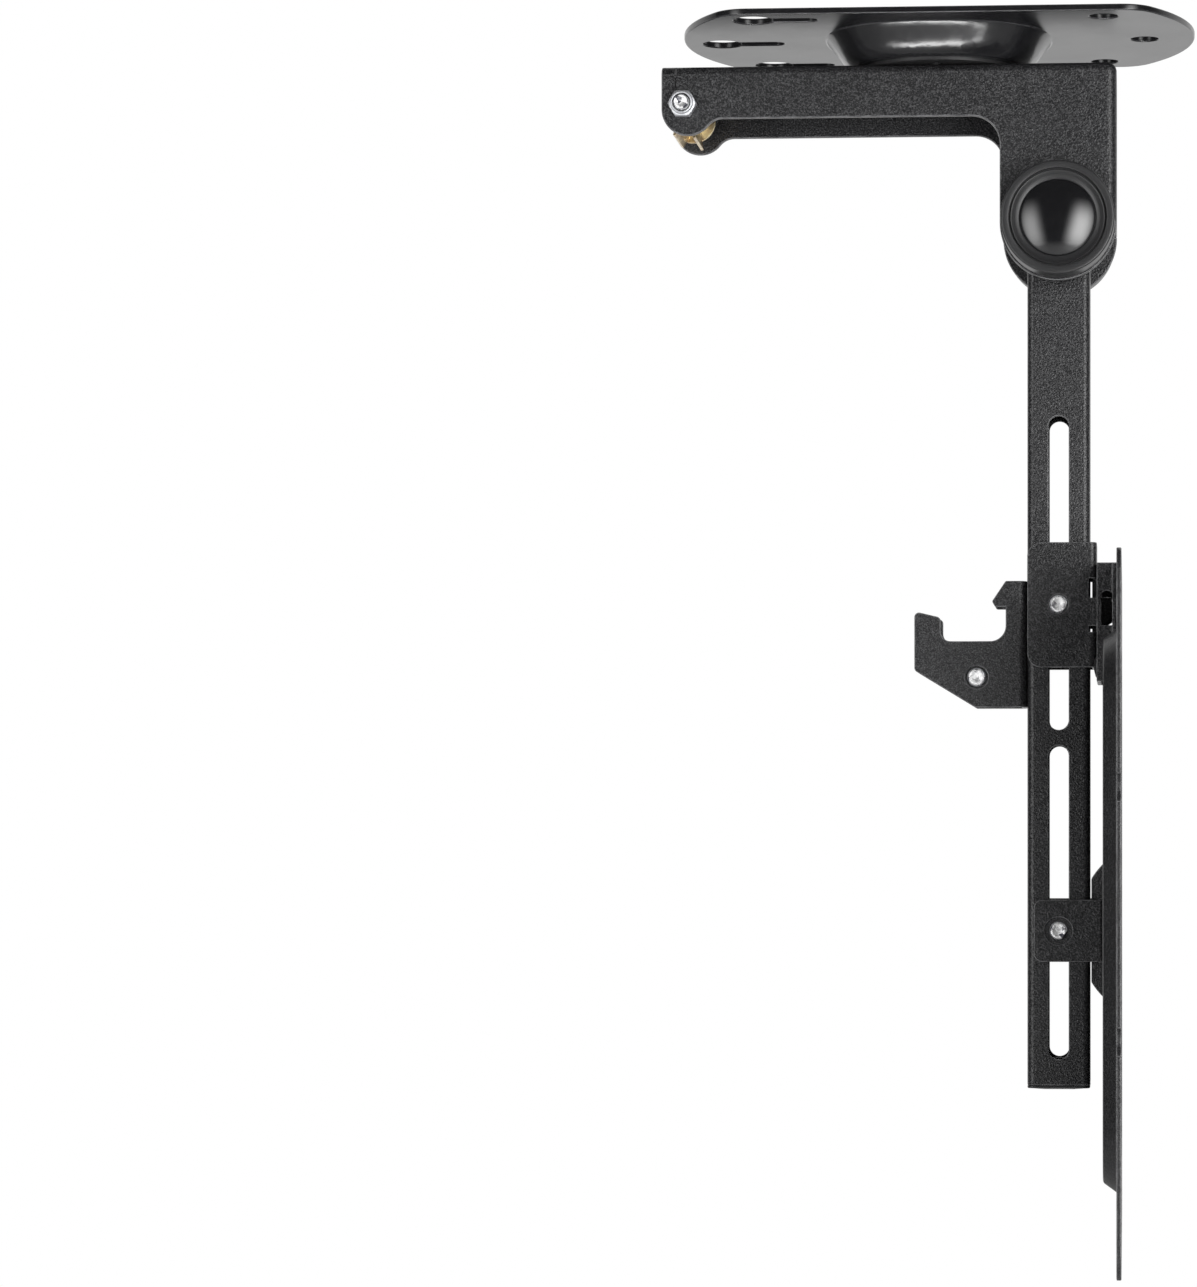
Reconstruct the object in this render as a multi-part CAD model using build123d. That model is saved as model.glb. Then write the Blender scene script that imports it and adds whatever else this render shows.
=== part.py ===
from build123d import *
import os
from math import cos, pi, radians, sin, sqrt, tan

# Fits and sheets, in millimetres. The top face of the ceiling plate is Z = 0, the arm hangs
# down, the display faces +X, and the fold axis runs along Y.
running_gap = 0.06          # radial gap of a shaft that turns or slides in its hole
seat_gap = 0.05             # radial gap of a fastener in a hole that it clamps
face_gap = 0.15             # gap between faces that slide past each other
steel_sheet = 2.0           # ceiling plate, yoke and hook
thin_sheet = 1.5            # display plate, hanger, upper and lower bracket
corner_turned = 0.8         # share of a hexagon's corner that is turned down
same_place = 0.01           # edges are told apart by their places, to this length

# Ceiling plate.
plate_length = 164.0
plate_width = 96.0
plate_end_radius = 73.0
plate_corner_radius = 12.0
screw_hole_radius = 4.4
end_hole_inset = 16.0       # from the right-hand end to the middle hole
side_hole_inset = 29.0      # from the right-hand end to the pair of holes
side_hole_margin = 10.0     # from the long edge to the holes and keyholes beside it
keyhole_radius = 6.3
keyhole_slot_width = 6.0
keyhole_slot_reach = 17.0   # from the round end to the slot's centre
end_keyhole_inset = 12.0
side_keyhole_inset = 25.5

# Pressed boss of the ceiling plate, a four-lobed dish.
boss_depth = 11.5           # ceiling to the underside of the dish's floor
boss_mouth_radius = 41.0
boss_floor_radius = 29.0
boss_lobe_depth = 2.4
boss_lobe_count = 4
boss_points_per_lobe = 6
boss_upper_step = (0.24, 0.22)      # share of the way in, and of the way down
boss_lower_step = (0.70, 0.80)

# Swivel between the ceiling plate and the yoke.
swivel_bolt_radius = 5.0
swivel_head_flats = 16.0
swivel_head_height = 6.0
swivel_nut_height = 5.0
swivel_washer_radius = 10.5
swivel_washer_thickness = 1.5
friction_disc_radius = 26.0
friction_disc_thickness = 1.0
disc_rivet_radius = 2.0
disc_rivet_head = 3.4
disc_rivet_circle = 19.5
disc_rivet_count = 6

# Yoke, a folded channel with two legs.
yoke_width = 40.0
yoke_bar_depth = 16.8       # top of the yoke to the lower edge of its bar
yoke_leg_radius = 18.5      # round lower end of each leg, about the fold axis
yoke_inner_corner = 9.0
yoke_bend_radius = 3.0
yoke_web_inset = 4.0        # from the yoke's left end to the edge of its top web
yoke_corner_radius = 2.0
latch_lobe_radius = 8.4
latch_lobe_offset = 1.5     # from the latch bolt to the lobe's centre
latch_lobe_drop = 13.7      # top of the yoke to the lobe's centre
latch_lobe_blend = 6.0

# Fold axis.
fold_x = 38.6
fold_drop = 50.7            # top of the yoke to the fold axis
fold_bolt_radius = 5.0
fold_head_flats = 16.0
fold_head_height = 5.4
fold_nut_height = 5.0
fold_tip_length = 0.6
fold_washer_radius = 9.5
fold_washer_thickness = 1.6
fold_spacer_radius = 13.0
fold_bush_wall = 2.0

# Round covers over the fold bolt.
cap_radius = 17.9
cap_height = 11.0
cap_edge = 1.2
cap_edge_middle = 0.36      # the rounded edge's middle, in from both faces
cap_groove_radius = 15.1
cap_groove_width = 0.5
cap_groove_depth = 0.9
dome_radius = 12.0
dome_rim_height = 9.4       # top of the dome's edge above the yoke's side
dome_crown = 2.8
dome_seat_height = 7.9
cap_bore_radius = 11.0

# Latch at the left end of the yoke.
latch_to_fold = 119.3       # along X
latch_drop = 12.3           # top of the yoke to the latch bolt
latch_bolt_radius = 2.5
latch_flats = 8.0
latch_nut_height = 3.6
latch_collar_radius = 3.6
latch_collar_height = 1.4
latch_head_height = 3.5
latch_tip_length = 0.9
sleeve_radius = 4.0
catch_width = 24.0
catch_hub_radius = 4.2
catch_reaches = (9.2, 9.8)
catch_root_width = 3.6
catch_tip_width = 0.9
catch_prong_angles = (246.0, 287.0)
catch_disc_radius = 7.2
catch_disc_thickness = 1.4

# Arm, a square tube with two long slots. Heights are measured down from the fold axis.
arm_width = 20.0
arm_wall = 1.5
arm_corner_radius = 2.2
arm_above_axis = 10.0
arm_below_axis = 274.0
slot_width = 6.4
upper_slot_top = 60.5
upper_slot_length = 100.0
lower_slot_top = 165.5
lower_slot_length = 100.3
plug_lip = 0.9
plug_crown = 0.5
plug_crown_inset = 0.5      # lip's side to the crown's foot
plug_crown_width = 12.0
plug_depth = 8.0
plug_wall = 1.6

# Hook on the arm's left face, a channel cut to a hook on both sides.
hook_top = 113.0            # below the fold axis
hook_height = 40.3
hook_reach = 36.1           # from the arm's face to the finger's outer edge
hook_neck = 6.9             # from the arm's face to the notch
hook_tooth_reach = 11.3
hook_tooth_nose = 6.5       # top of the hook to the nose of the tooth
hook_tooth_height = 8.2
hook_tooth_undercut = 1.0
hook_notch_width = 20.8
hook_notch_floor = 19.2     # top of the hook to the floor of the notch
hook_finger_tip = 9.6       # top of the hook to the finger's outer corner
hook_finger_slant = 2.0
hook_finger_heel = 28.5
hook_toe_reach = 16.7
hook_notch_inner_corner = 5.0
hook_notch_outer_corner = 3.2
hook_small_corner = 1.5
hook_bend_radius = 3.0
hook_bolt_reach = 16.2      # from the arm's face to the clamp bolt
hook_bolt_down = 30.7
rivet_radius = 2.4
rivet_head_radius = 4.2
rivet_head_height = 1.4
rivet_tail_radius = 3.2
rivet_tail_height = 1.0
hook_rivet_insets = (8.0, 32.0)     # from the hook's top

# Clamp bolts, M6.
clamp_radius = 3.0
clamp_flats = 10.0
clamp_head_height = 4.0
clamp_flange_radius = 6.4
clamp_flange_height = 1.1
clamp_tip_length = 0.4
clamp_tip_chamfer = 0.45
insert_radius = 4.3         # threaded insert pressed into the near side
insert_sink = 0.7
hook_insert_radius = 3.6
hook_insert_sink = 1.1

# Upper bracket, a channel round the arm.
upper_top = 100.8
upper_height = 39.9
upper_bolt_down = 19.7      # top of the bracket to its bolt
upper_corner_radius = 4.5
bracket_bend_radius = 2.0
bracket_web_gap = 0.65      # arm's face to the bracket's web
bend_cut = 2.2              # the windows reach this far past the ears, towards the middle
upper_window_top = 11.5     # top of the bracket to the window in its web
upper_window_height = 17.1
nose_top = 17.7
nose_height = 9.0
nose_reach = 4.85           # beyond the bracket's web
nose_slant = 2.1            # height of the slanted corner under the nose
nose_slant_reach = 3.0
bend_relief = 0.4           # the reliefs reach this far past the arm's face, towards the ears

# Hanger, the tray on the display plate that drops over the two noses.
hanger_above_window = 4.4   # hanger's top above the top of the window
hanger_height = 37.5
hanger_width = 42.0
hanger_flange_height = 10.9
hanger_notch_radius = 2.0
hanger_lip_reach = 6.0      # the lips stand out this far beside the hanger
hanger_lip_gap = 0.5        # above the foot of the emboss
nose_slot_gap = 0.25
hanger_rivet_inset = 5.0    # from the hanger's lower edge
hanger_rivet_margin = 5.0   # from the hanger's side
small_rivet_radius = 1.6
small_rivet_head = 2.9
small_rivet_head_height = 0.9

# Display plate.
display_size = 217.0
display_corner_radius = 8.0
display_standoff = 18.6     # from the arm's axis to the rim's near face
display_top = 108.4         # below the fold axis
emboss_height = 4.2
emboss_margin_z = 22.4      # plate's edge to the foot of the emboss
emboss_margin_y = 25.0
emboss_corner_radius = 22.0
emboss_slope = 36.0
emboss_edge_radius = 1.6
edge_notch_radius = 4.0
small_pattern = 75.0
medium_pattern = 100.0
large_pattern = 200.0
display_hole_radius = 2.6
large_hole_radius = 3.3

# Lower bracket, a pressed saddle with two ears.
lower_bolt_down = 224.6
lower_ear_height = 19.8
lower_ear_reach = 7.9       # left of the arm's axis
lower_corner_radius = 2.6
saddle_length = 43.0
saddle_shoulder = 5.0
saddle_width = 15.0
saddle_rise = 4.0           # above the emboss
saddle_curve_in = 0.3       # share of the rise where the shoulder's curve bends most
saddle_curve_along = 0.36   # the same, as a share of the shoulder's length
lower_bend_radius = 1.45

# Places that follow from the values above.
boss_underside = -boss_depth
boss_floor_top = boss_underside + steel_sheet
yoke_top = boss_underside - friction_disc_thickness
yoke_half = yoke_width / 2
yoke_inner_half = yoke_half - steel_sheet
fold_z = yoke_top - fold_drop
yoke_right = fold_x + yoke_leg_radius
latch_x = fold_x - latch_to_fold
latch_z = yoke_top - latch_drop
lobe_x = latch_x + latch_lobe_offset
lobe_z = yoke_top - latch_lobe_drop
yoke_left = lobe_x - latch_lobe_radius
bar_bottom = yoke_top - yoke_bar_depth
web_left = yoke_left + yoke_web_inset
arm_half = arm_width / 2
arm_left = fold_x - arm_half
arm_right = fold_x + arm_half
ear_inner = arm_half + face_gap
ear_outer = ear_inner + thin_sheet
web_near = arm_right + bracket_web_gap
web_far = web_near + thin_sheet
rim_near = fold_x + display_standoff
rim_far = rim_near + thin_sheet
emboss_near = rim_near - emboss_height
emboss_far = emboss_near + thin_sheet
display_z = fold_z - display_top - display_size / 2
half_display = display_size / 2


def across(profile, low, high):
    """A profile drawn in X and Z, made solid between two values of Y."""
    plane = Plane(origin=(0, high, 0), x_dir=(1, 0, 0), z_dir=(0, -1, 0))
    return extrude(plane * profile, high - low)


def both_sides(profile, inner, outer):
    """The same profile as a pair of plates, near and far."""
    return across(profile, -outer, -inner) + across(profile, inner, outer)


def box_xz(left, right, low, high):
    """A rectangle in X and Z from its four sides."""
    return Pos((left + right) / 2, (low + high) / 2) * Rectangle(right - left, high - low)


def rod(x, z, low, high, radius):
    """A round bar along Y."""
    return across(Pos(x, z) * Circle(radius), low, high)


def ring(x, z, low, high, radius, bore):
    """A washer or sleeve along Y."""
    return across(Pos(x, z) * Circle(radius) - Pos(x, z) * Circle(bore), low, high)


def hexagon(x, z, low, high, flats):
    """A hexagon along Y with its corners turned down at the outer end."""
    corner = flats / 2 / cos(radians(30))
    prism = across(Pos(x, z) * RegularPolygon(flats / 2, 6, major_radius=False), low, high)
    blank = rod(x, z, low, high, corner)
    outer = blank.edges().filter_by(GeomType.CIRCLE).sort_by(Axis.Y)
    picked = outer[-1] if low > 0 else outer[0]
    return prism & chamfer(picked, (corner - flats / 2) * corner_turned)


def standing(radius, low, high):
    """A round bar along Z on the swivel axis."""
    return extrude(Pos(0, 0, low) * Circle(radius), high - low)


def corner_points(shape, spots, reach=0.4):
    """The vertices of a flat shape that lie at the given spots."""
    found = []
    for vertex in shape.vertices():
        for spot in spots:
            if sqrt((vertex.X - spot[0]) ** 2 + (vertex.Y - spot[1]) ** 2) < reach:
                found.append(vertex)
    return found


def lobed_outline(mean_radius, height):
    """The boss's wavy outline at one height, a circle with four shallow lobes."""
    points = []
    count = boss_lobe_count * boss_points_per_lobe
    for step in range(count):
        angle = 2 * pi * step / count
        radius = mean_radius - boss_lobe_depth / 2 * (1 + cos(boss_lobe_count * angle))
        points.append((radius * cos(angle), radius * sin(angle)))
    return Pos(0, 0, height) * make_face(Spline(points, periodic=True))


def boss_form(inset, top, bottom):
    """The solid inside the boss's outer or inner skin."""
    mouth = boss_mouth_radius - inset
    floor = boss_floor_radius - inset
    sections = []
    for inward, downward in ((0, 0), boss_upper_step, boss_lower_step, (1, 1)):
        radius = mouth - (mouth - floor) * inward
        sections.append(lobed_outline(radius, top - (top - bottom) * downward))
    return loft(sections)


def keyhole(x, y):
    """A round opening with a slot that runs towards the plate's middle."""
    slot = Pos(x + keyhole_slot_reach / 2, y) * Rectangle(keyhole_slot_reach, keyhole_slot_width)
    end = Pos(x + keyhole_slot_reach, y) * Circle(keyhole_slot_width / 2)
    return Pos(x, y) * Circle(keyhole_radius) + slot + end


def make_ceiling_plate():
    half_length = plate_length / 2
    half_width = plate_width / 2
    arc_centre = half_length - plate_end_radius
    side = arc_centre + sqrt(plate_end_radius ** 2 - half_width ** 2)
    edge = [
        Line((-side, -half_width), (side, -half_width)),
        ThreePointArc((side, -half_width), (half_length, 0), (side, half_width)),
        Line((side, half_width), (-side, half_width)),
        ThreePointArc((-side, half_width), (-half_length, 0), (-side, -half_width)),
    ]
    outline = make_face(edge)
    outline = fillet(outline.vertices(), plate_corner_radius)
    hole_y = half_width - side_hole_margin
    outline -= Pos(half_length - end_hole_inset, 0) * Circle(screw_hole_radius)
    outline -= keyhole(end_keyhole_inset - half_length, 0)
    for y in (-hole_y, hole_y):
        outline -= Pos(half_length - side_hole_inset, y) * Circle(screw_hole_radius)
        outline -= keyhole(side_keyhole_inset - half_length, y)
    plate = extrude(Pos(0, 0, -steel_sheet) * outline, steel_sheet)
    plate += boss_form(0, 0, boss_underside)
    plate -= boss_form(steel_sheet, 0, boss_floor_top)
    plate -= standing(swivel_bolt_radius + seat_gap, boss_underside, 0)
    for x, y in disc_rivet_places():
        plate -= Pos(x, y) * standing(disc_rivet_radius + seat_gap, boss_underside, 0)
    return plate


def disc_rivet_places():
    """Centres of the rivets that hold the friction disc, on a circle about the swivel."""
    places = []
    for index in range(disc_rivet_count):
        angle = radians(360 * (index + 0.5) / disc_rivet_count)
        places.append((disc_rivet_circle * cos(angle), disc_rivet_circle * sin(angle)))
    return places


def make_friction_disc():
    disc = standing(friction_disc_radius, yoke_top, boss_underside)
    disc -= standing(swivel_bolt_radius + seat_gap, yoke_top, boss_underside)
    for x, y in disc_rivet_places():
        disc -= Pos(x, y) * standing(disc_rivet_radius + seat_gap, yoke_top, boss_underside)
    return disc


def make_disc_rivets():
    head_top = boss_floor_top + small_rivet_head_height
    sink = yoke_top + face_gap
    rivets = []
    for x, y in disc_rivet_places():
        shank = Pos(x, y) * standing(disc_rivet_radius, sink, boss_floor_top)
        rivets.append(shank + Pos(x, y) * standing(disc_rivet_head, boss_floor_top, head_top))
    return rivets


def upright_hexagon(flats, low, high):
    """A hexagon along Z on the swivel axis."""
    return extrude(Pos(0, 0, low) * RegularPolygon(flats / 2, 6, major_radius=False), high - low)


swivel_nut_bottom = boss_floor_top + swivel_washer_thickness
swivel_nut_top = swivel_nut_bottom + swivel_nut_height
swivel_seat = yoke_top - steel_sheet - face_gap - swivel_washer_thickness


def make_swivel_bolt():
    shank = standing(swivel_bolt_radius, swivel_seat, swivel_nut_top + face_gap)
    return shank + upright_hexagon(swivel_head_flats, swivel_seat - swivel_head_height, swivel_seat)


def make_swivel_nut():
    nut = upright_hexagon(swivel_head_flats, swivel_nut_bottom, swivel_nut_top)
    return nut - standing(swivel_bolt_radius + seat_gap, swivel_nut_bottom, swivel_nut_top)


def upright_washer(low):
    high = low + swivel_washer_thickness
    return standing(swivel_washer_radius, low, high) - standing(swivel_bolt_radius + seat_gap, low, high)


def yoke_outline():
    """The side of the yoke: bar, latch lobe and leg in one cut sheet."""
    shape = box_xz(lobe_x, yoke_right, bar_bottom, yoke_top)
    shape += box_xz(yoke_left, lobe_x, lobe_z, yoke_top)
    shape += Pos(lobe_x, lobe_z) * Circle(latch_lobe_radius)
    shape += box_xz(fold_x - yoke_leg_radius, yoke_right, fold_z, yoke_top)
    shape += Pos(fold_x, fold_z) * Circle(yoke_leg_radius)
    rise = lobe_z - bar_bottom
    blend_x = lobe_x + sqrt(latch_lobe_radius ** 2 - rise ** 2)
    shape = fillet(corner_points(shape, [(blend_x, bar_bottom)]), latch_lobe_blend)
    shape = fillet(corner_points(shape, [(fold_x - yoke_leg_radius, bar_bottom)]), yoke_inner_corner)
    shape = fillet(corner_points(shape, [(yoke_left, yoke_top)]), yoke_corner_radius)
    return shape


def make_yoke():
    outline = yoke_outline()
    folded_zone = box_xz(web_left, yoke_right, fold_z, yoke_top)
    folded = across(outline & folded_zone, -yoke_half, yoke_half)
    hollow = box_xz(web_left, yoke_right - steel_sheet, fold_z - yoke_leg_radius, yoke_top - steel_sheet)
    folded -= across(hollow, -yoke_inner_half, yoke_inner_half)
    folded = fillet(folded_edges(folded), yoke_bend_radius)
    sides = both_sides(outline - folded_zone, yoke_inner_half, yoke_half)
    yoke = folded + sides
    yoke -= rod(fold_x, fold_z, -yoke_half, yoke_half, fold_bolt_radius + seat_gap)
    yoke -= rod(latch_x, latch_z, -yoke_half, yoke_half, latch_bolt_radius + seat_gap)
    yoke -= standing(swivel_bolt_radius + running_gap, yoke_top - steel_sheet, yoke_top)
    return yoke


def folded_edges(folded):
    """The outer edges where the sheet is folded: both sides of the web and of the back wall."""
    picked = []
    for edge in folded.edges():
        middle = edge @ 0.5
        on_side = abs(abs(middle.Y) - yoke_half) < same_place
        on_top = abs(middle.Z - yoke_top) < same_place
        on_back = abs(middle.X - yoke_right) < same_place
        if (on_side and on_top) or (on_side and on_back) or (on_top and on_back):
            picked.append(edge)
    return picked


fold_seat = yoke_half + fold_washer_thickness
fold_nut_face = fold_seat + fold_nut_height


def make_fold_bolt():
    shank = rod(fold_x, fold_z, -fold_nut_face - fold_tip_length, fold_seat, fold_bolt_radius)
    return shank + hexagon(fold_x, fold_z, fold_seat, fold_seat + fold_head_height, fold_head_flats)


def make_fold_nut():
    nut = hexagon(fold_x, fold_z, -fold_nut_face, -fold_seat, fold_head_flats)
    return nut - rod(fold_x, fold_z, -fold_nut_face, -fold_seat, fold_bolt_radius + seat_gap)


def fold_ring(low, high, radius, gap):
    return ring(fold_x, fold_z, low, high, radius, fold_bolt_radius + gap)


def turned_cover(points, near):
    """A profile of radius and height, turned about the fold axis outside the near or far leg."""
    side = -1 if near else 1
    plane = Plane(origin=(fold_x, side * yoke_half, fold_z), x_dir=(1, 0, 0), z_dir=(0, 0, side))
    return revolve(plane * points, Axis((fold_x, 0, fold_z), (0, 1, 0)))


def make_cap_ring(near):
    groove_in = cap_groove_radius - cap_groove_width / 2
    groove_out = cap_groove_radius + cap_groove_width / 2
    seat = dome_radius + seat_gap
    profile = Polyline(
        (cap_bore_radius, 0),
        (cap_radius, 0),
        (cap_radius, cap_height - cap_edge),
        (cap_radius - cap_edge_middle, cap_height - cap_edge_middle),
        (cap_radius - cap_edge, cap_height),
        (groove_out, cap_height),
        (groove_out, cap_height - cap_groove_depth),
        (groove_in, cap_height - cap_groove_depth),
        (groove_in, cap_height - cap_groove_depth / 3),
        (seat, dome_rim_height),
        (seat, dome_seat_height),
        (cap_bore_radius, dome_seat_height),
        close=True,
    )
    return turned_cover(make_face(profile), near)


def make_cap_dome(near):
    sphere = (dome_radius ** 2 + dome_crown ** 2) / (2 * dome_crown)
    crown = dome_rim_height + dome_crown
    halfway = dome_radius / 2
    edge = [
        Line((0, dome_seat_height), (dome_radius, dome_seat_height)),
        Line((dome_radius, dome_seat_height), (dome_radius, dome_rim_height)),
        ThreePointArc(
            (dome_radius, dome_rim_height),
            (halfway, crown - sphere + sqrt(sphere ** 2 - halfway ** 2)),
            (0, crown),
        ),
        Line((0, crown), (0, dome_seat_height)),
    ]
    return turned_cover(make_face(edge), near)


latch_nut_face = yoke_half + latch_nut_height
latch_collar_face = latch_nut_face + latch_collar_height


def make_latch_bolt():
    tip = -latch_collar_face - latch_tip_length
    shank = rod(latch_x, latch_z, tip, yoke_half, latch_bolt_radius)
    return shank + hexagon(latch_x, latch_z, yoke_half, yoke_half + latch_head_height, latch_flats)


def make_latch_nut():
    nut = hexagon(latch_x, latch_z, -latch_nut_face, -yoke_half, latch_flats)
    nut += rod(latch_x, latch_z, -latch_collar_face, -latch_nut_face, latch_collar_radius)
    return nut - rod(latch_x, latch_z, -latch_collar_face, -yoke_half, latch_bolt_radius + seat_gap)


def latch_ring(low, high):
    return ring(latch_x, latch_z, low, high, sleeve_radius, latch_bolt_radius + seat_gap)


def make_latch_catch():
    """The turning catch: a hub with two tapered prongs, and a round plate at its far end."""
    half = catch_width / 2
    profile = Circle(catch_hub_radius)
    for angle, reach in zip(catch_prong_angles, catch_reaches):
        prong = make_face(Polyline(
            (0, -catch_root_width / 2),
            (reach, -catch_tip_width / 2),
            (reach, catch_tip_width / 2),
            (0, catch_root_width / 2),
            close=True,
        ))
        profile += Rot(0, 0, angle) * prong
    catch = across(Pos(latch_x, latch_z) * profile, -half, half)
    catch += rod(latch_x, latch_z, half - catch_disc_thickness, half, catch_disc_radius)
    return catch - rod(latch_x, latch_z, -half, half, latch_bolt_radius + running_gap)


tube_top = fold_z + arm_above_axis
tube_bottom = fold_z - arm_below_axis
bush_radius = fold_bolt_radius + running_gap + fold_bush_wall
slots = ((upper_slot_top, upper_slot_length), (lower_slot_top, lower_slot_length))


def square_bar(size, corner, low, high):
    """A square bar with round edges, along the arm."""
    return extrude(Pos(fold_x, 0, low) * RectangleRounded(size, size, corner), high - low)


def make_arm_tube():
    bore = arm_width - 2 * arm_wall
    tube = square_bar(arm_width, arm_corner_radius, tube_bottom, tube_top)
    tube -= square_bar(bore, arm_corner_radius - arm_wall, tube_bottom, tube_top)
    for top, length in slots:
        opening = Pos(fold_x, fold_z - top - length / 2) * Rot(0, 0, 90) * SlotOverall(length, slot_width)
        tube -= across(opening, -arm_half, arm_half)
    tube -= rod(fold_x, fold_z, -arm_half, arm_half, bush_radius + seat_gap)
    for z in hook_rivet_heights():
        tube -= x_rod(arm_left, arm_left + arm_wall, 0, z, rivet_radius + seat_gap)
    return tube


def make_end_plug():
    stem = arm_width - 2 * arm_wall - 2 * seat_gap
    corner = arm_corner_radius - arm_wall
    lip_low = tube_bottom - plug_lip
    plug = square_bar(arm_width, arm_corner_radius, lip_low, tube_bottom)
    plug += square_bar(stem, corner, tube_bottom, tube_bottom + plug_depth)
    foot = arm_width - 2 * plug_crown_inset
    crown = loft([
        Pos(fold_x, 0, lip_low) * RectangleRounded(foot, foot, arm_corner_radius),
        Pos(fold_x, 0, lip_low - plug_crown)
        * RectangleRounded(plug_crown_width, plug_crown_width, arm_corner_radius),
    ])
    hollow = stem - 2 * plug_wall
    plug -= extrude(Pos(fold_x, 0, tube_bottom + plug_wall) * Rectangle(hollow, hollow), plug_depth)
    return plug + crown


def x_rod(left, right, y, z, radius):
    """A round bar along X."""
    plane = Plane(origin=(left, y, z), x_dir=(0, 1, 0), z_dir=(1, 0, 0))
    return extrude(plane * Circle(radius), right - left)


hook_top_z = fold_z - hook_top
hook_bolt_x = arm_left - hook_bolt_reach
hook_bolt_z = hook_top_z - hook_bolt_down
hook_inner = arm_half - steel_sheet


def hook_rivet_heights():
    return [hook_top_z - inset for inset in hook_rivet_insets]


def hook_outline():
    """The side of the hook: tooth, notch, upright finger and slanted heel."""
    notch_left = arm_left - hook_neck - hook_notch_width
    finger = arm_left - hook_reach
    tip = hook_top_z - hook_finger_tip
    floor = hook_top_z - hook_notch_floor
    inner = (arm_left - hook_neck, floor)
    outer = (notch_left, floor)
    lip = (notch_left, tip - hook_finger_slant)
    crown = (finger, tip)
    heel = (finger, hook_top_z - hook_finger_heel)
    nose = (arm_left - hook_tooth_reach, hook_top_z - hook_tooth_nose)
    beak = (arm_left - hook_tooth_reach + hook_tooth_undercut, hook_top_z - hook_tooth_height)
    shape = make_face(Polyline(
        (arm_left, hook_top_z),
        (arm_left - hook_neck, hook_top_z),
        nose,
        beak,
        (arm_left - hook_neck, hook_top_z - hook_tooth_height),
        inner,
        outer,
        lip,
        crown,
        heel,
        (arm_left - hook_toe_reach, hook_top_z - hook_height),
        (arm_left, hook_top_z - hook_height),
        close=True,
    ))
    shape = fillet(corner_points(shape, [inner]), hook_notch_inner_corner)
    shape = fillet(corner_points(shape, [outer]), hook_notch_outer_corner)
    shape = fillet(corner_points(shape, [lip, crown, heel]), hook_small_corner)
    return fillet(corner_points(shape, [nose, beak]), hook_small_corner / 2)


def make_hook_bracket():
    hook = across(hook_outline(), -arm_half, arm_half)
    inside = box_xz(arm_left - hook_reach, arm_left - steel_sheet, hook_top_z - hook_height, hook_top_z)
    hook -= across(inside, -hook_inner, hook_inner)
    bends = [e for e in hook.edges().filter_by(Axis.Z) if abs((e @ 0.5).X - arm_left) < same_place]
    hook = fillet(bends, hook_bend_radius)
    for z in hook_rivet_heights():
        hook -= x_rod(arm_left - steel_sheet, arm_left, 0, z, rivet_radius + seat_gap)
    hook -= rod(hook_bolt_x, hook_bolt_z, -arm_half, 0, hook_insert_radius + seat_gap)
    hook -= rod(hook_bolt_x, hook_bolt_z, 0, arm_half, clamp_radius + seat_gap)
    return hook


def make_hook_rivets():
    """Blind rivets through the hook's web and the arm's wall."""
    web = arm_left - steel_sheet
    wall = arm_left + arm_wall
    rivets = []
    for z in hook_rivet_heights():
        rivet = x_rod(web, wall, 0, z, rivet_radius)
        rivet += x_rod(web - rivet_head_height, web, 0, z, rivet_head_radius)
        rivet += x_rod(wall, wall + rivet_tail_height, 0, z, rivet_tail_radius)
        rivets.append(rivet)
    return rivets


def clamp_bolt(x, z, near, far):
    """A flanged M6 bolt from the far side, with its tip at the near side."""
    bolt = rod(x, z, -near - clamp_tip_length, far, clamp_radius)
    tip = bolt.edges().filter_by(GeomType.CIRCLE).sort_by(Axis.Y)[0]
    bolt = chamfer(tip, clamp_tip_chamfer)
    bolt += rod(x, z, far, far + clamp_flange_height, clamp_flange_radius)
    head = far + clamp_flange_height
    return bolt + hexagon(x, z, head, head + clamp_head_height, clamp_flats)


def clamp_insert(x, z, near, sheet, radius, sink):
    """A threaded insert pressed into the near sheet, just below its face."""
    return ring(x, z, sink - near, sheet - near, radius, clamp_radius + seat_gap)


upper_z = fold_z - upper_top
upper_bolt_z = upper_z - upper_bolt_down
window_high = upper_z - upper_window_top
window_low = window_high - upper_window_height
nose_high = upper_z - nose_top
nose_low = nose_high - nose_height
nose_tip = web_far + nose_reach


def make_upper_bracket():
    low = upper_z - upper_height
    side = box_xz(arm_left, web_far, low, upper_z)
    side = fillet(corner_points(side, [(arm_left, low), (arm_left, upper_z)]), upper_corner_radius)
    bracket = across(side, -ear_outer, ear_outer)
    inside = box_xz(arm_left, web_near, low, upper_z)
    bracket -= across(inside, -ear_inner, ear_inner)
    bends = []
    for edge in bracket.edges().filter_by(Axis.Z):
        middle = edge @ 0.5
        if abs(middle.X - web_far) < same_place and abs(abs(middle.Y) - ear_outer) < same_place:
            bends.append(edge)
    bracket = fillet(bends, bracket_bend_radius)
    relief = arm_right - bend_relief
    window = box_xz(relief, web_far, window_low, window_high)
    bracket -= both_sides(window, ear_inner - bend_cut, ear_outer)
    nose = make_face(Polyline(
        (relief, nose_low),
        (nose_tip - nose_slant_reach, nose_low),
        (nose_tip, nose_low + nose_slant),
        (nose_tip, nose_high),
        (relief, nose_high),
        close=True,
    ))
    bracket += both_sides(nose, ear_inner, ear_outer)
    bracket -= rod(fold_x, upper_bolt_z, -ear_outer, ear_outer, clamp_radius + seat_gap)
    return bracket


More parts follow.
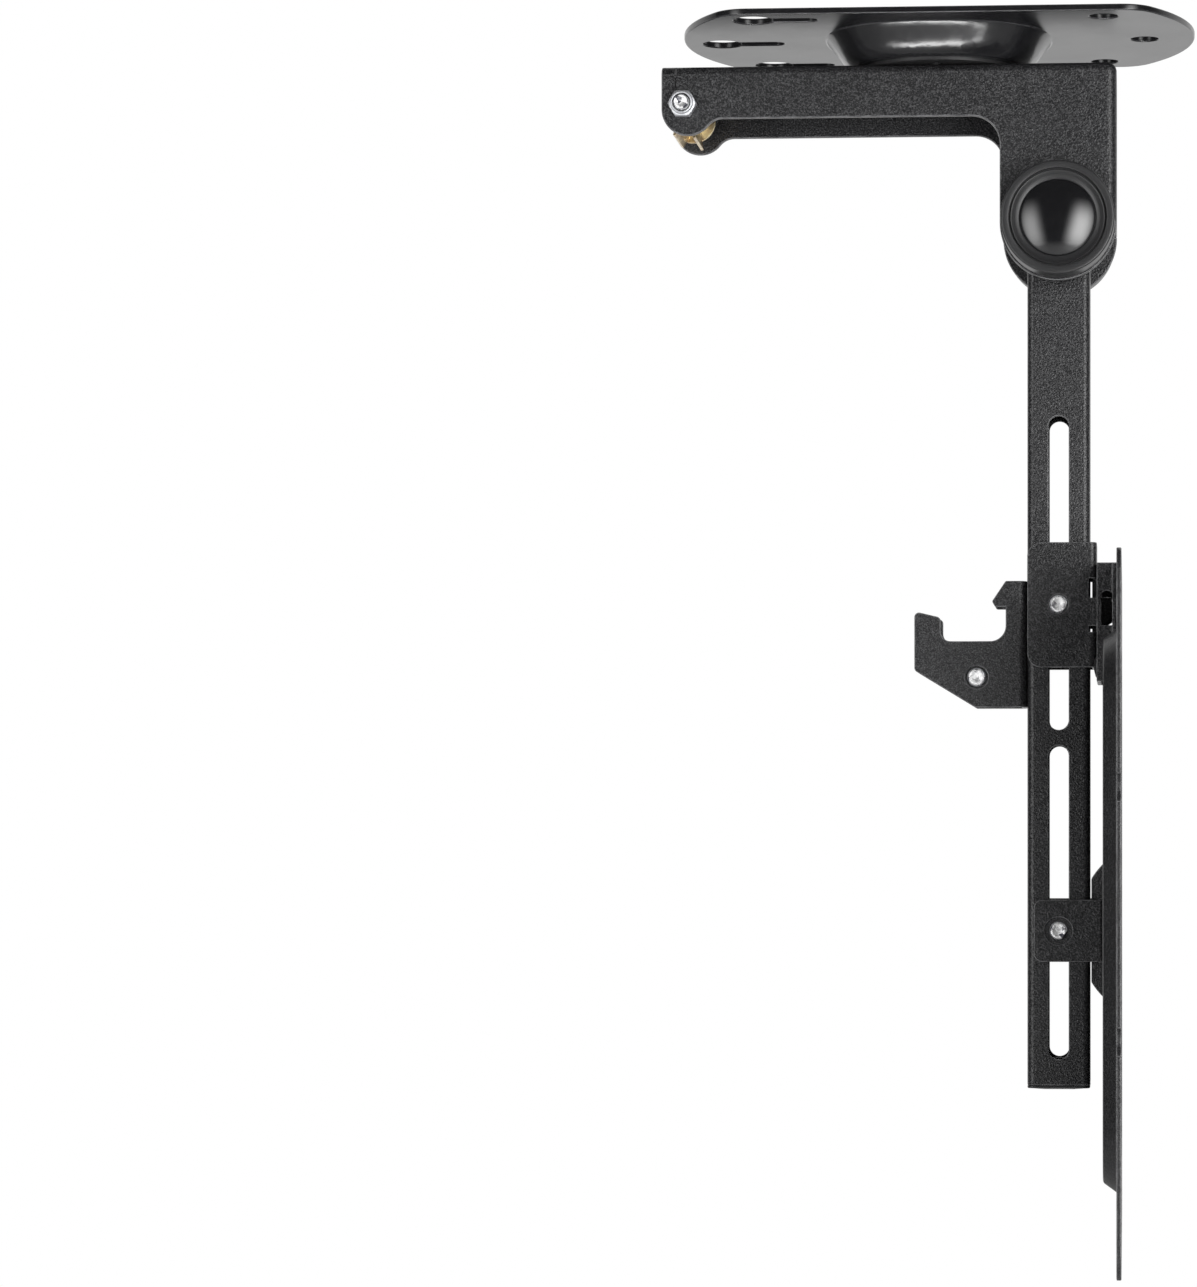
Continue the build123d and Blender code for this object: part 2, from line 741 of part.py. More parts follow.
hanger_top = window_high + hanger_above_window
hanger_bottom = hanger_top - hanger_height
hanger_face = web_far + thin_sheet
hanger_half = hanger_width / 2
hanger_rivet_y = hanger_half - hanger_rivet_margin
hanger_rivet_z = hanger_bottom + hanger_rivet_inset
lip_near = rim_near - thin_sheet
lip_high = display_z + half_display
lip_low = lip_high - emboss_margin_z + hanger_lip_gap


def hanger_side():
    """The hanger from the side, with the window that the nose stands in."""
    side = make_face(Polyline(
        (web_far, hanger_top),
        (rim_near, hanger_top),
        (rim_near, lip_low),
        (emboss_near, lip_low - emboss_height * tan(radians(emboss_slope))),
        (emboss_near, hanger_bottom),
        (web_far, hanger_bottom),
        close=True,
    ))
    window_top = hanger_top - hanger_flange_height
    window = box_xz(hanger_face, lip_near, nose_low - nose_slot_gap, window_top)
    window += Pos((hanger_face + lip_near) / 2, window_top) * Circle(hanger_notch_radius)
    return side - window


def make_hanger():
    """A tray whose sides end in lips that lie on the plate's rim."""
    hanger = across(hanger_side(), -hanger_half, hanger_half)
    inside = box_xz(hanger_face, rim_near, hanger_bottom, hanger_top)
    hanger -= across(inside, thin_sheet - hanger_half, hanger_half - thin_sheet)
    lip = box_xz(lip_near, rim_near, lip_low, lip_high)
    hanger += both_sides(lip, hanger_half - thin_sheet, hanger_half + hanger_lip_reach)
    slot = box_xz(web_far, hanger_face, nose_low - nose_slot_gap, nose_high + nose_slot_gap)
    hanger -= both_sides(slot, ear_inner - nose_slot_gap, ear_outer + nose_slot_gap)
    for y in (-hanger_rivet_y, hanger_rivet_y):
        hanger -= x_rod(web_far, hanger_face, y, hanger_rivet_z, small_rivet_radius + seat_gap)
    return hanger


def make_hanger_rivets():
    """Rivets with a collar that fills the gap between the hanger and the emboss."""
    rivets = []
    for y in (-hanger_rivet_y, hanger_rivet_y):
        rivet = x_rod(web_far, emboss_far, y, hanger_rivet_z, small_rivet_radius)
        rivet += x_rod(web_far - small_rivet_head_height, web_far, y, hanger_rivet_z, small_rivet_head)
        rivet += x_rod(hanger_face, emboss_near, y, hanger_rivet_z, small_rivet_head)
        rivet += x_rod(emboss_far, emboss_far + small_rivet_head_height, y, hanger_rivet_z, small_rivet_head)
        rivets.append(rivet)
    return rivets


def emboss_form(foot):
    """The raised field of the display plate, drafted on all four sides."""
    wide = display_size - 2 * emboss_margin_y
    tall = display_size - 2 * emboss_margin_z
    plane = Plane(origin=(foot, 0, display_z), x_dir=(0, 1, 0), z_dir=(-1, 0, 0))
    sketch = plane * RectangleRounded(wide, tall, emboss_corner_radius)
    return extrude(sketch, emboss_height, taper=emboss_slope)


def display_holes():
    """Each hole of the screw patterns, as Y, Z from the plate's centre and a radius."""
    holes = []
    half_small = small_pattern / 2
    half_medium = medium_pattern / 2
    half_large = large_pattern / 2
    for y in (-1, 1):
        for z in (-1, 1):
            holes.append((y * half_small, z * half_small, display_hole_radius))
            holes.append((y * half_medium, z * half_medium, display_hole_radius))
            holes.append((y * half_large, z * half_large, large_hole_radius))
            holes.append((y * half_large, z * half_medium, large_hole_radius))
    return holes


def make_display_plate():
    plane = Plane(origin=(rim_near, 0, display_z), x_dir=(0, 1, 0), z_dir=(1, 0, 0))
    outline = RectangleRounded(display_size, display_size, display_corner_radius)
    plate = extrude(plane * outline, thin_sheet)
    plate += emboss_form(rim_near)
    raised = [e for e in plate.edges() if abs((e @ 0.5).X - emboss_near) < same_place]
    plate = fillet(raised, emboss_edge_radius)
    plate -= emboss_form(rim_far)
    for y, z, radius in display_holes():
        plate -= x_rod(emboss_near, rim_far, y, display_z + z, radius)
    for side in (-1, 1):
        for z in (-small_pattern / 2, small_pattern / 2):
            plate -= x_rod(emboss_near, rim_far, side * half_display, display_z + z, edge_notch_radius)
        rivet_y = side * hanger_rivet_y
        plate -= x_rod(emboss_near, rim_far, rivet_y, hanger_rivet_z, small_rivet_radius + seat_gap)
    return plate


lower_z = fold_z - lower_bolt_down
lower_ear_outer = ear_inner + thin_sheet


def saddle_profile(near, length):
    """The saddle seen from the side: flat on top, with a curved shoulder at each end."""
    half = length / 2
    flat = half - saddle_shoulder
    foot = emboss_near
    bulge = (foot - near) * saddle_curve_in
    bend = saddle_shoulder * saddle_curve_along
    edge = [
        Line((foot, lower_z - half), (foot, lower_z + half)),
        ThreePointArc((foot, lower_z + half), (near + bulge, lower_z + flat + bend), (near, lower_z + flat)),
        Line((near, lower_z + flat), (near, lower_z - flat)),
        ThreePointArc((near, lower_z - flat), (near + bulge, lower_z - flat - bend), (foot, lower_z - half)),
    ]
    return make_face(edge)


def make_lower_bracket():
    near = emboss_near - saddle_rise
    high = lower_z + lower_ear_height / 2
    low = lower_z - lower_ear_height / 2
    left = fold_x - lower_ear_reach
    side = box_xz(left, emboss_near, low, high)
    side = fillet(corner_points(side, [(left, low), (left, high)]), lower_corner_radius)
    bracket = across(side, -lower_ear_outer, lower_ear_outer)
    inside = box_xz(left, emboss_near - thin_sheet, low, high)
    bracket -= across(inside, -ear_inner, ear_inner)
    bends = []
    for edge in bracket.edges().filter_by(Axis.Z):
        middle = edge @ 0.5
        if abs(middle.X - emboss_near) < same_place and abs(abs(middle.Y) - lower_ear_outer) < same_place:
            bends.append(edge)
    bracket = fillet(bends, lower_bend_radius)
    half = saddle_width / 2
    bracket += across(saddle_profile(near, saddle_length), -half, half)
    void = saddle_profile(near + thin_sheet, saddle_length - 2 * thin_sheet)
    bracket -= across(void, thin_sheet - half, half - thin_sheet)
    bracket -= rod(fold_x, lower_z, -lower_ear_outer, 0, insert_radius + seat_gap)
    bracket -= rod(fold_x, lower_z, 0, lower_ear_outer, clamp_radius + seat_gap)
    return bracket


def write(name, shape):
    """One file for each piece, or for each group of like fasteners."""
    if isinstance(shape, list):
        shape = Compound(children=shape)
    shape.label = name
    export_step(shape, "parts/" + name + ".step")


os.makedirs("parts", exist_ok=True)

write("ceiling_plate", make_ceiling_plate())
write("friction_disc", make_friction_disc())
write("disc_rivets", make_disc_rivets())
write("swivel_bolt", make_swivel_bolt())
write("swivel_nut", make_swivel_nut())
write("swivel_washer_upper", upright_washer(boss_floor_top))
write("swivel_washer_lower", upright_washer(swivel_seat))
write("yoke", make_yoke())

write("fold_bolt", make_fold_bolt())
write("fold_nut", make_fold_nut())
write("fold_washer_near", fold_ring(-fold_seat, -yoke_half, fold_washer_radius, seat_gap))
write("fold_washer_far", fold_ring(yoke_half, fold_seat, fold_washer_radius, seat_gap))
spacer_face = arm_half + face_gap
write("fold_spacer_near", fold_ring(-yoke_inner_half, -spacer_face, fold_spacer_radius, seat_gap))
write("fold_spacer_far", fold_ring(spacer_face, yoke_inner_half, fold_spacer_radius, seat_gap))
for place, near in (("near", True), ("far", False)):
    write("cap_ring_" + place, make_cap_ring(near))
    write("cap_dome_" + place, make_cap_dome(near))

catch_face = catch_width / 2 + face_gap
write("latch_bolt", make_latch_bolt())
write("latch_nut", make_latch_nut())
write("latch_sleeve_near", latch_ring(-yoke_inner_half, -catch_face))
write("latch_sleeve_far", latch_ring(catch_face, yoke_inner_half))
write("latch_catch", make_latch_catch())

write("arm_tube", make_arm_tube())
write("arm_end_plug", make_end_plug())
write("fold_bush", fold_ring(-arm_half, arm_half, bush_radius, running_gap))
write("hook_bracket", make_hook_bracket())
write("hook_rivets", make_hook_rivets())
write("hook_bolt", clamp_bolt(hook_bolt_x, hook_bolt_z, arm_half, arm_half))
hook_rim = (hook_insert_radius, hook_insert_sink)
write("hook_insert", clamp_insert(hook_bolt_x, hook_bolt_z, arm_half, steel_sheet, *hook_rim))
sleeve_bore = clamp_radius + seat_gap
write("hook_sleeve", ring(hook_bolt_x, hook_bolt_z, -hook_inner, hook_inner, insert_radius, sleeve_bore))

write("upper_bracket", make_upper_bracket())
write("upper_bolt", clamp_bolt(fold_x, upper_bolt_z, ear_outer, ear_outer))
write("hanger", make_hanger())
write("hanger_rivets", make_hanger_rivets())
write("display_plate", make_display_plate())
write("lower_bracket", make_lower_bracket())
write("lower_bolt", clamp_bolt(fold_x, lower_z, lower_ear_outer - insert_sink, lower_ear_outer))
lower_rim = (insert_radius, insert_sink)
write("lower_insert", clamp_insert(fold_x, lower_z, lower_ear_outer, thin_sheet, *lower_rim))
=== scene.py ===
import math

import bmesh
import bpy
from mathutils import Matrix, Quaternion, Vector
from mathutils.bvhtree import BVHTree


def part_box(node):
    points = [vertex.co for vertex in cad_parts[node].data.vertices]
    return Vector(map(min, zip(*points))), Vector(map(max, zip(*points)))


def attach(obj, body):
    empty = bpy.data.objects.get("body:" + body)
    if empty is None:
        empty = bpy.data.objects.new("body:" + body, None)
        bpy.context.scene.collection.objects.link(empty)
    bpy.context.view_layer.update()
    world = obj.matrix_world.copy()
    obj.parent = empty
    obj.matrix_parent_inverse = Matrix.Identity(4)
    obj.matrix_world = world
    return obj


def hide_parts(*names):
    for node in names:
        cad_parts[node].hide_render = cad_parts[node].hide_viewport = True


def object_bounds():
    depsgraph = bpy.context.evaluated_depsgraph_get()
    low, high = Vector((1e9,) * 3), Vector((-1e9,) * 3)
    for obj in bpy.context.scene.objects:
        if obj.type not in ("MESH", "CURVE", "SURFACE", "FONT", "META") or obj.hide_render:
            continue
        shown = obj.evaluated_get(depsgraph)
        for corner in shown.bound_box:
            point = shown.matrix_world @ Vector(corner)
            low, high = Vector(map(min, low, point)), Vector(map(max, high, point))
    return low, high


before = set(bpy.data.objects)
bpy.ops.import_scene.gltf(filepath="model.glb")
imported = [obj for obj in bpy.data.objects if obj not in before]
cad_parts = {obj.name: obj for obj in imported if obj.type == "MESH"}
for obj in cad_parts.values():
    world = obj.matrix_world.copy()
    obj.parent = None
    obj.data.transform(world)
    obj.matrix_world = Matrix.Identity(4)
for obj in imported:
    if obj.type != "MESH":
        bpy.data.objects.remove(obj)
cad_low, cad_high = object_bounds()


# Ceiling plate
# Pressed from 2 mm steel with a lobed dish in the middle, pierced with round holes at one end
# and keyholes at the other, and dipped in a smooth semi-gloss black paint. It is screwed up
# against the ceiling, and everything else hangs from its dish.

def place(tree, kind, inputs=None, **settings):
    """One node, with its settings, its values and its links."""
    node = tree.nodes.new(kind)
    for key, value in settings.items():
        setattr(node, key, value)
    for key, value in (inputs or {}).items():
        if isinstance(value, bpy.types.NodeSocket):
            tree.links.new(value, node.inputs[key])
        else:
            node.inputs[key].default_value = value
    return node


def open_group(name, kind, inputs, outputs):
    """An empty node group with its named sockets."""
    group = bpy.data.node_groups.new(name, kind)
    for label, socket_type, value in inputs:
        socket = group.interface.new_socket(name=label, in_out="INPUT", socket_type=socket_type)
        if value is not None:
            socket.default_value = value
    for label, socket_type in outputs:
        group.interface.new_socket(name=label, in_out="OUTPUT", socket_type=socket_type)
    return group, group.nodes.new("NodeGroupInput"), group.nodes.new("NodeGroupOutput")


def math_node(tree, operation, first, second=0.0, third=0.0):
    """One sum on numbers or on other nodes' outputs."""
    node = place(tree, "ShaderNodeMath", {0: first, 1: second}, operation=operation)
    if operation in ("MULTIPLY_ADD", "WRAP", "COMPARE"):
        if isinstance(third, bpy.types.NodeSocket):
            tree.links.new(third, node.inputs[2])
        else:
            node.inputs[2].default_value = third
    return node.outputs[0]


def make_coat_grain():
    """Cured powder or paint close up: rounded grains, the gaps between them, slow mottling, and
    light flecks on the grains that are painted glints.
    """
    group, given, result = open_group(
        "coat_grain", "ShaderNodeTree",
        [("Grain Size", "NodeSocketFloat", 0.0007), ("Mottle Size", "NodeSocketFloat", 0.02)],
        [("Height", "NodeSocketFloat"), ("Painted Glint", "NodeSocketFloat"),
         ("Mottle", "NodeSocketFloat")],
    )
    where = place(group, "ShaderNodeTexCoord").outputs["Object"]
    fine = math_node(group, "DIVIDE", 1.0, given.outputs["Grain Size"])
    slow = math_node(group, "DIVIDE", 1.0, given.outputs["Mottle Size"])
    bumps = place(group, "ShaderNodeTexNoise",
                  {"Vector": where, "Scale": fine, "Detail": 2.0, "Roughness": 0.55})
    cell_scale = math_node(group, "MULTIPLY", fine, 0.8)
    cells = place(group, "ShaderNodeTexVoronoi",
                  {"Vector": where, "Scale": cell_scale, "Smoothness": 0.6}, feature="SMOOTH_F1")
    sparkle_scale = math_node(group, "MULTIPLY", fine, 1.25)
    sparkle = place(group, "ShaderNodeTexNoise",
                    {"Vector": where, "Scale": sparkle_scale, "Detail": 1.0})
    patches = place(group, "ShaderNodeTexNoise",
                    {"Vector": where, "Scale": slow, "Detail": 3.0, "Roughness": 0.6})
    height = math_node(group, "SUBTRACT", bumps.outputs[0],
                       math_node(group, "MULTIPLY", cells.outputs["Distance"], 0.45))
    painted_glint = place(group, "ShaderNodeMapRange",
                  {"Value": sparkle.outputs[0], "From Min": 0.44, "From Max": 0.70})
    group.links.new(height, result.inputs["Height"])
    group.links.new(painted_glint.outputs["Result"], result.inputs["Painted Glint"])
    group.links.new(patches.outputs[0], result.inputs["Mottle"])
    return group


def make_rim_highlight():
    """A mask for the rounded cut edges: the coat is pulled smooth there, and the lighter colour
    this mask puts on them is a painted highlight.
    """
    group, given, result = open_group(
        "cut_edge", "ShaderNodeTree",
        [("Patch Size", "NodeSocketFloat", 0.004)],
        [("Edge", "NodeSocketFloat")],
    )
    rim = place(group, "ShaderNodeAttribute", attribute_name="rim")
    where = place(group, "ShaderNodeTexCoord").outputs["Object"]
    scale = math_node(group, "DIVIDE", 1.0, given.outputs["Patch Size"])
    patches = place(group, "ShaderNodeTexNoise", {"Vector": where, "Scale": scale, "Detail": 2.0})
    patchy_rim = place(group, "ShaderNodeMapRange",
                 {"Value": patches.outputs[0], "From Min": 0.35, "From Max": 0.65, "To Min": 0.35})
    edge = math_node(group, "MULTIPLY", rim.outputs["Fac"], patchy_rim.outputs["Result"])
    group.links.new(edge, result.inputs["Edge"])
    return group


coat_grain = make_coat_grain()
cut_edge = make_rim_highlight()


def mixed(tree, amount, first, second):
    """A mix of two colours, each given as three numbers or as another node's output."""
    node = place(tree, "ShaderNodeMix", {"Factor": amount}, data_type="RGBA")
    first_colour, second_colour, mixed_colour = node.inputs[6], node.inputs[7], node.outputs[2]
    for socket, value in ((first_colour, first), (second_colour, second)):
        if isinstance(value, bpy.types.NodeSocket):
            tree.links.new(value, socket)
        else:
            socket.default_value = (*value, 1.0)
    return mixed_colour


def ranged(tree, value, low, high):
    """Spreads a value from 0 to 1 over another range."""
    return place(tree, "ShaderNodeMapRange",
                 {"Value": value, "To Min": low, "To Max": high}).outputs["Result"]


def coated(name, colour, painted_glint, edge, grain, relief, roughness, coat=0.0):
    """A painted or powder-coated metal, from its colours, its grain size and the grain's height.
    Its fleck colour is a painted glint on the grain, and its edge colour a painted highlight on the
    rounded edges.
    """
    material = bpy.data.materials.new(name)
    material.use_nodes = True
    tree = material.node_tree
    shader = tree.nodes["Principled BSDF"]
    texture = place(tree, "ShaderNodeGroup", node_tree=coat_grain)
    texture.inputs["Grain Size"].default_value = grain
    rims = place(tree, "ShaderNodeGroup", node_tree=cut_edge)
    specks = math_node(tree, "MULTIPLY", texture.outputs["Painted Glint"],
                       ranged(tree, texture.outputs["Mottle"], 0.5, 1.0))
    # Painted light: the flecks get a painted glint colour, and the rounded edges a lighter painted
    # highlight.
    body = mixed(tree, specks, colour, painted_glint)
    tree.links.new(mixed(tree, rims.outputs["Edge"], body, edge), shader.inputs["Base Color"])
    dull = ranged(tree, texture.outputs["Mottle"], roughness - 0.06, roughness + 0.06)
    smoother_at_rims = math_node(tree, "MULTIPLY", rims.outputs["Edge"], -0.12)
    tree.links.new(math_node(tree, "ADD", dull, smoother_at_rims), shader.inputs["Roughness"])
    bump = place(tree, "ShaderNodeBump",
                 {"Height": texture.outputs["Height"], "Distance": relief, "Strength": 1.0})
    tree.links.new(bump.outputs["Normal"], shader.inputs["Normal"])
    shader.inputs["Coat Weight"].default_value = coat
    shader.inputs["Coat Roughness"].default_value = 0.12
    return material


def settle(piece):
    """Turns what the modifiers made of a piece into its plain mesh."""
    graph = bpy.context.evaluated_depsgraph_get()
    mesh = bpy.data.meshes.new_from_object(piece.evaluated_get(graph), depsgraph=graph)
    piece.modifiers.clear()
    piece.data = mesh


def mark_rims(piece):
    """Keeps which faces belong to a rounded edge, and puts all faces back on one material."""
    mesh = piece.data
    rims = [float(face.material_index == 1) for face in mesh.polygons]
    layer = mesh.attributes.new("rim", "FLOAT", "FACE")
    layer.data.foreach_set("value", rims)
    mesh.polygons.foreach_set("material_index", [0] * len(rims))
    mesh.update()


def new_piece(name, mesh):
    """Puts a mesh into the scene under its name."""
    piece = bpy.data.objects.new(name, mesh)
    bpy.context.scene.collection.objects.link(piece)
    return piece


spare = bpy.data.materials.new("marks_rounded_edges")
sharp_edge = math.radians(32)


def draw_back(piece, surface, reach):
    """Returns any point that the rounding threw off to the nearest point of the form."""
    for vertex in piece.data.vertices:
        spot, _, _, away = surface.find_nearest(vertex.co)
        if away > reach:
            vertex.co = spot


large_face = 2e-5
fewest_corners = 24


def refill_flats(piece):
    """Fills each large flat face with holes again from its rims, so that it folds over nowhere."""
    shape = bmesh.new()
    shape.from_mesh(piece.data)
    left = dict.fromkeys(face for face in shape.faces
                         if face.material_index == 0 and face.calc_area() > large_face)
    while left:
        flat = [next(iter(left))]
        del left[flat[0]]
        for face in flat:
            for other in [other for edge in face.edges for other in edge.link_faces]:
                if other in left and other.normal.dot(face.normal) > 0.9999:
                    del left[other]
                    flat.append(other)
        if sum(len(face.verts) for face in flat) < fewest_corners:
            continue
        normal = max(flat, key=lambda face: face.calc_area()).normal.copy()
        inside = set(flat)
        rim = [edge for face in flat for edge in face.edges
               if sum(other in inside for other in edge.link_faces) == 1]
        bmesh.ops.delete(shape, geom=flat, context="FACES_KEEP_BOUNDARY")
        filled = bmesh.ops.triangle_fill(shape, use_beauty=True, use_dissolve=False, edges=rim,
                                         normal=normal)["geom"]
        faces = [item for item in filled if isinstance(item, bmesh.types.BMFace)]
        for face in faces:
            face.smooth = True
            face.material_index = 0
            if face.normal.dot(normal) < 0:
                face.normal_flip()
        inner = [item for item in filled if isinstance(item, bmesh.types.BMEdge)]
        bmesh.ops.dissolve_limit(shape, angle_limit=math.radians(0.2), verts=[], edges=inner)
    shape.to_mesh(piece.data)
    shape.free()


def round_edges(piece, radius, steps=2):
    """Rounds the sharp edges of a finished form, as a tool or a coat of powder leaves them."""
    faces = [face.vertices[:] for face in piece.data.polygons]
    surface = BVHTree.FromPolygons([v.co.copy() for v in piece.data.vertices], faces)
    piece.data.materials.clear()
    piece.data.materials.append(spare)
    piece.data.materials.append(spare)
    bevel = piece.modifiers.new("rounded edges", "BEVEL")
    bevel.width = radius
    bevel.segments = steps
    bevel.limit_method = "ANGLE"
    bevel.angle_limit = sharp_edge
    bevel.use_clamp_overlap = False
    bevel.loop_slide = False
    bevel.material = 1
    settle(piece)
    draw_back(piece, surface, radius)
    refill_flats(piece)
    piece.modifiers.new("even shading", "WEIGHTED_NORMAL")
    settle(piece)
    mark_rims(piece)
    return piece


def joined_copy(node, name):
    """The node's own shape as one joined-up mesh with large flat faces."""
    shape = bmesh.new()
    shape.from_mesh(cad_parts[node].data)
    bmesh.ops.remove_doubles(shape, verts=shape.verts, dist=1e-6)
    bmesh.ops.dissolve_limit(shape, angle_limit=math.radians(0.2),
                             verts=shape.verts[:], edges=shape.edges[:])
    mesh = bpy.data.meshes.new(name)
    shape.to_mesh(mesh)
    shape.free()
    for extra in ("custom_normal", "sharp_face", "sharp_edge"):
        if extra in mesh.attributes:
            mesh.attributes.remove(mesh.attributes[extra])
    mesh.shade_smooth()
    return new_piece(name, mesh)


def formed_from(node, name, radius, steps=2):
    """A sheet or moulding in the node's own shape, with its edges rounded."""
    return round_edges(joined_copy(node, name), radius, steps)


def fit(piece, body, material, slot, *nodes):
    """Gives a piece its coat and its body, and hides the solids it stands in for."""
    piece.data.materials.clear()
    piece.data.materials.append(material)
    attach(piece, body)
    if nodes:
        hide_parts(*nodes)


# Its second colour is a painted glint on the grain, and its third a painted highlight on the
# rounded edges.
plate_paint = coated("plate_paint", (0.008, 0.008, 0.009), (0.014, 0.014, 0.015),
                     (0.035, 0.035, 0.037), grain=0.0011, relief=0.000010, roughness=0.20)
fit(formed_from("ceiling_plate", "ceiling_plate_pressing", 0.00045, 3),
    "ceiling", plate_paint, "plate_paint", "ceiling_plate")


# Swivel
# An M10 bolt holds the yoke up under the dish, with a nut and washer above, a washer below and a
# nylon disc between the two sheets. Six small rivets keep the disc from turning with the yoke.

MM = 0.001


def carried(tree, name, kind="FLOAT"):
    """What the points carry under a name."""
    node = place(tree, "GeometryNodeInputNamedAttribute", {"Name": name}, data_type=kind)
    return node.outputs["Attribute"]


def turned_tree():
    """Turns a profile about its axis, cuts its flats, and sets it at each given place."""
    tree, given, result = open_group(
        "turned_fasteners", "GeometryNodeTree",
        [("Geometry", "NodeSocketGeometry", None), ("Profile", "NodeSocketObject", None),
         ("Steps Round", "NodeSocketInt", 72), ("Across Flats", "NodeSocketFloat", 0.01),
         ("Coat", "NodeSocketMaterial", None)],
        [("Geometry", "NodeSocketGeometry")],
    )
    profile = place(tree, "GeometryNodeObjectInfo", {"Object": given.outputs["Profile"]})
    profile = profile.outputs["Geometry"]
    rows = place(tree, "GeometryNodeAttributeDomainSize", {"Geometry": profile})
    rows = rows.outputs["Point Count"]
    steps = given.outputs["Steps Round"]
    grid = place(tree, "GeometryNodeMeshGrid",
                 {"Vertices X": math_node(tree, "ADD", steps, 1.0), "Vertices Y": rows})
    index = place(tree, "GeometryNodeInputIndex").outputs[0]
    column = math_node(tree, "DIVIDE", math_node(tree, "ADD", index, 0.5), rows)
    column = math_node(tree, "FLOOR", column)
    row = math_node(tree, "SUBTRACT", index, math_node(tree, "MULTIPLY", column, rows))
    angle = math_node(tree, "DIVIDE", math_node(tree, "MULTIPLY", column, math.tau), steps)
    position = place(tree, "GeometryNodeInputPosition").outputs[0]
    spot = place(tree, "GeometryNodeSampleIndex",
                 {"Geometry": profile, "Value": position, "Index": row}, data_type="FLOAT_VECTOR")
    spot = place(tree, "ShaderNodeSeparateXYZ", {0: spot.outputs[0]})
    flats = place(tree, "GeometryNodeSampleIndex",
                  {"Geometry": profile, "Value": carried(tree, "flats"), "Index": row},
                  data_type="FLOAT")
    sixth = math.pi / 3
    off_flat = math_node(tree, "WRAP", angle, sixth / 2, -sixth / 2)
    half = math_node(tree, "MULTIPLY", given.outputs["Across Flats"], 0.5)
    flat_radius = math_node(tree, "DIVIDE", half, math_node(tree, "COSINE", off_flat))
    cut = math_node(tree, "MINIMUM", spot.outputs["X"], flat_radius)
    drop = math_node(tree, "SUBTRACT", cut, spot.outputs["X"])
    radius = math_node(tree, "MULTIPLY_ADD", drop, flats.outputs[0], spot.outputs["X"])
    across = place(tree, "ShaderNodeCombineXYZ", {
        "X": math_node(tree, "MULTIPLY", radius, math_node(tree, "COSINE", angle)),
        "Y": math_node(tree, "MULTIPLY", radius, math_node(tree, "SINE", angle)),
        "Z": spot.outputs["Z"],
    })
    turned = place(tree, "GeometryNodeSetPosition",
                   {"Geometry": grid.outputs["Mesh"], "Position": across.outputs[0]})
    turned = place(tree, "GeometryNodeMergeByDistance",
                   {"Geometry": turned.outputs[0], "Distance": 1e-6})
    aim = place(tree, "FunctionNodeAlignRotationToVector",
                {"Vector": carried(tree, "facing", "FLOAT_VECTOR")}, axis="Z")
    spin = place(tree, "FunctionNodeAxisAngleToRotation",
                 {"Axis": (0.0, 0.0, 1.0), "Angle": carried(tree, "roll")})
    turn = place(tree, "FunctionNodeRotateRotation",
                 {"Rotation": aim.outputs[0], "Rotate By": spin.outputs[0]}, rotation_space="LOCAL")
    copies = place(tree, "GeometryNodeInstanceOnPoints",
                   {"Points": given.outputs["Geometry"], "Instance": turned.outputs[0],
                    "Rotation": turn.outputs[0]})
    real = place(tree, "GeometryNodeRealizeInstances", {"Geometry": copies.outputs[0]})
    coat = place(tree, "GeometryNodeSetMaterial",
                 {"Geometry": real.outputs[0], "Material": given.outputs["Coat"]})
    tree.links.new(coat.outputs[0], result.inputs[0])
    return tree


def points_mesh(name, points, **values):
    """Loose points with one value each per named attribute."""
    mesh = bpy.data.meshes.new(name)
    mesh.from_pydata([tuple(p) for p in points], [], [])
    for key, rows in values.items():
        vector = hasattr(rows[0], "__len__")
        layer = mesh.attributes.new(key, "FLOAT_VECTOR" if vector else "FLOAT", "POINT")
        flat = [x for row in rows for x in row] if vector else list(rows)
        layer.data.foreach_set("vector" if vector else "value", flat)
    return mesh


def grown(name, mesh, tree, values):
    """Runs a geometry tree on a mesh, with its inputs set by name, and keeps the plain result."""
    piece = new_piece(name, mesh)
    modifier = piece.modifiers.new(tree.name, "NODES")
    modifier.node_group = tree
    sockets = {s.name: s.identifier for s in tree.interface.items_tree if s.in_out == "INPUT"}
    for key, value in values.items():
        modifier[sockets[key]] = value
    settle(piece)
    return piece


def outward(piece, angle=40):
    """Faces all pointing out, smooth within each surface and sharp between them."""
    shape = bmesh.new()
    shape.from_mesh(piece.data)
    bmesh.ops.remove_doubles(shape, verts=shape.verts, dist=1e-7)
    bmesh.ops.recalc_face_normals(shape, faces=shape.faces)
    shape.to_mesh(piece.data)
    shape.free()
    piece.data.shade_smooth()
    piece.data.set_sharp_from_angle(angle=math.radians(angle))
    return piece


turned_fasteners = turned_tree()


def turned(name, places, profile, coat, flats=0.01, steps=72):
    """Turned pieces from a profile of (radius, height, whether the flats cut it) in mm.

    Each place is a point in mm, the way the piece faces, and its roll in degrees.
    """
    outline = points_mesh(name + "_profile", [(r * MM, 0, z * MM) for r, z, _ in profile],
                          flats=[float(f) for _, _, f in profile])
    pattern = new_piece(name + "_profile", outline)
    spots = points_mesh(name + "_places", [[x * MM for x in p] for p, _, _ in places],
                        facing=[f for _, f, _ in places],
                        roll=[math.radians(r) for _, _, r in places])
    piece = grown(name, spots, turned_fasteners,
                  {"Profile": pattern, "Steps Round": steps, "Across Flats": flats * MM,
                   "Coat": coat})
    bpy.data.objects.remove(pattern)
    return outward(piece)


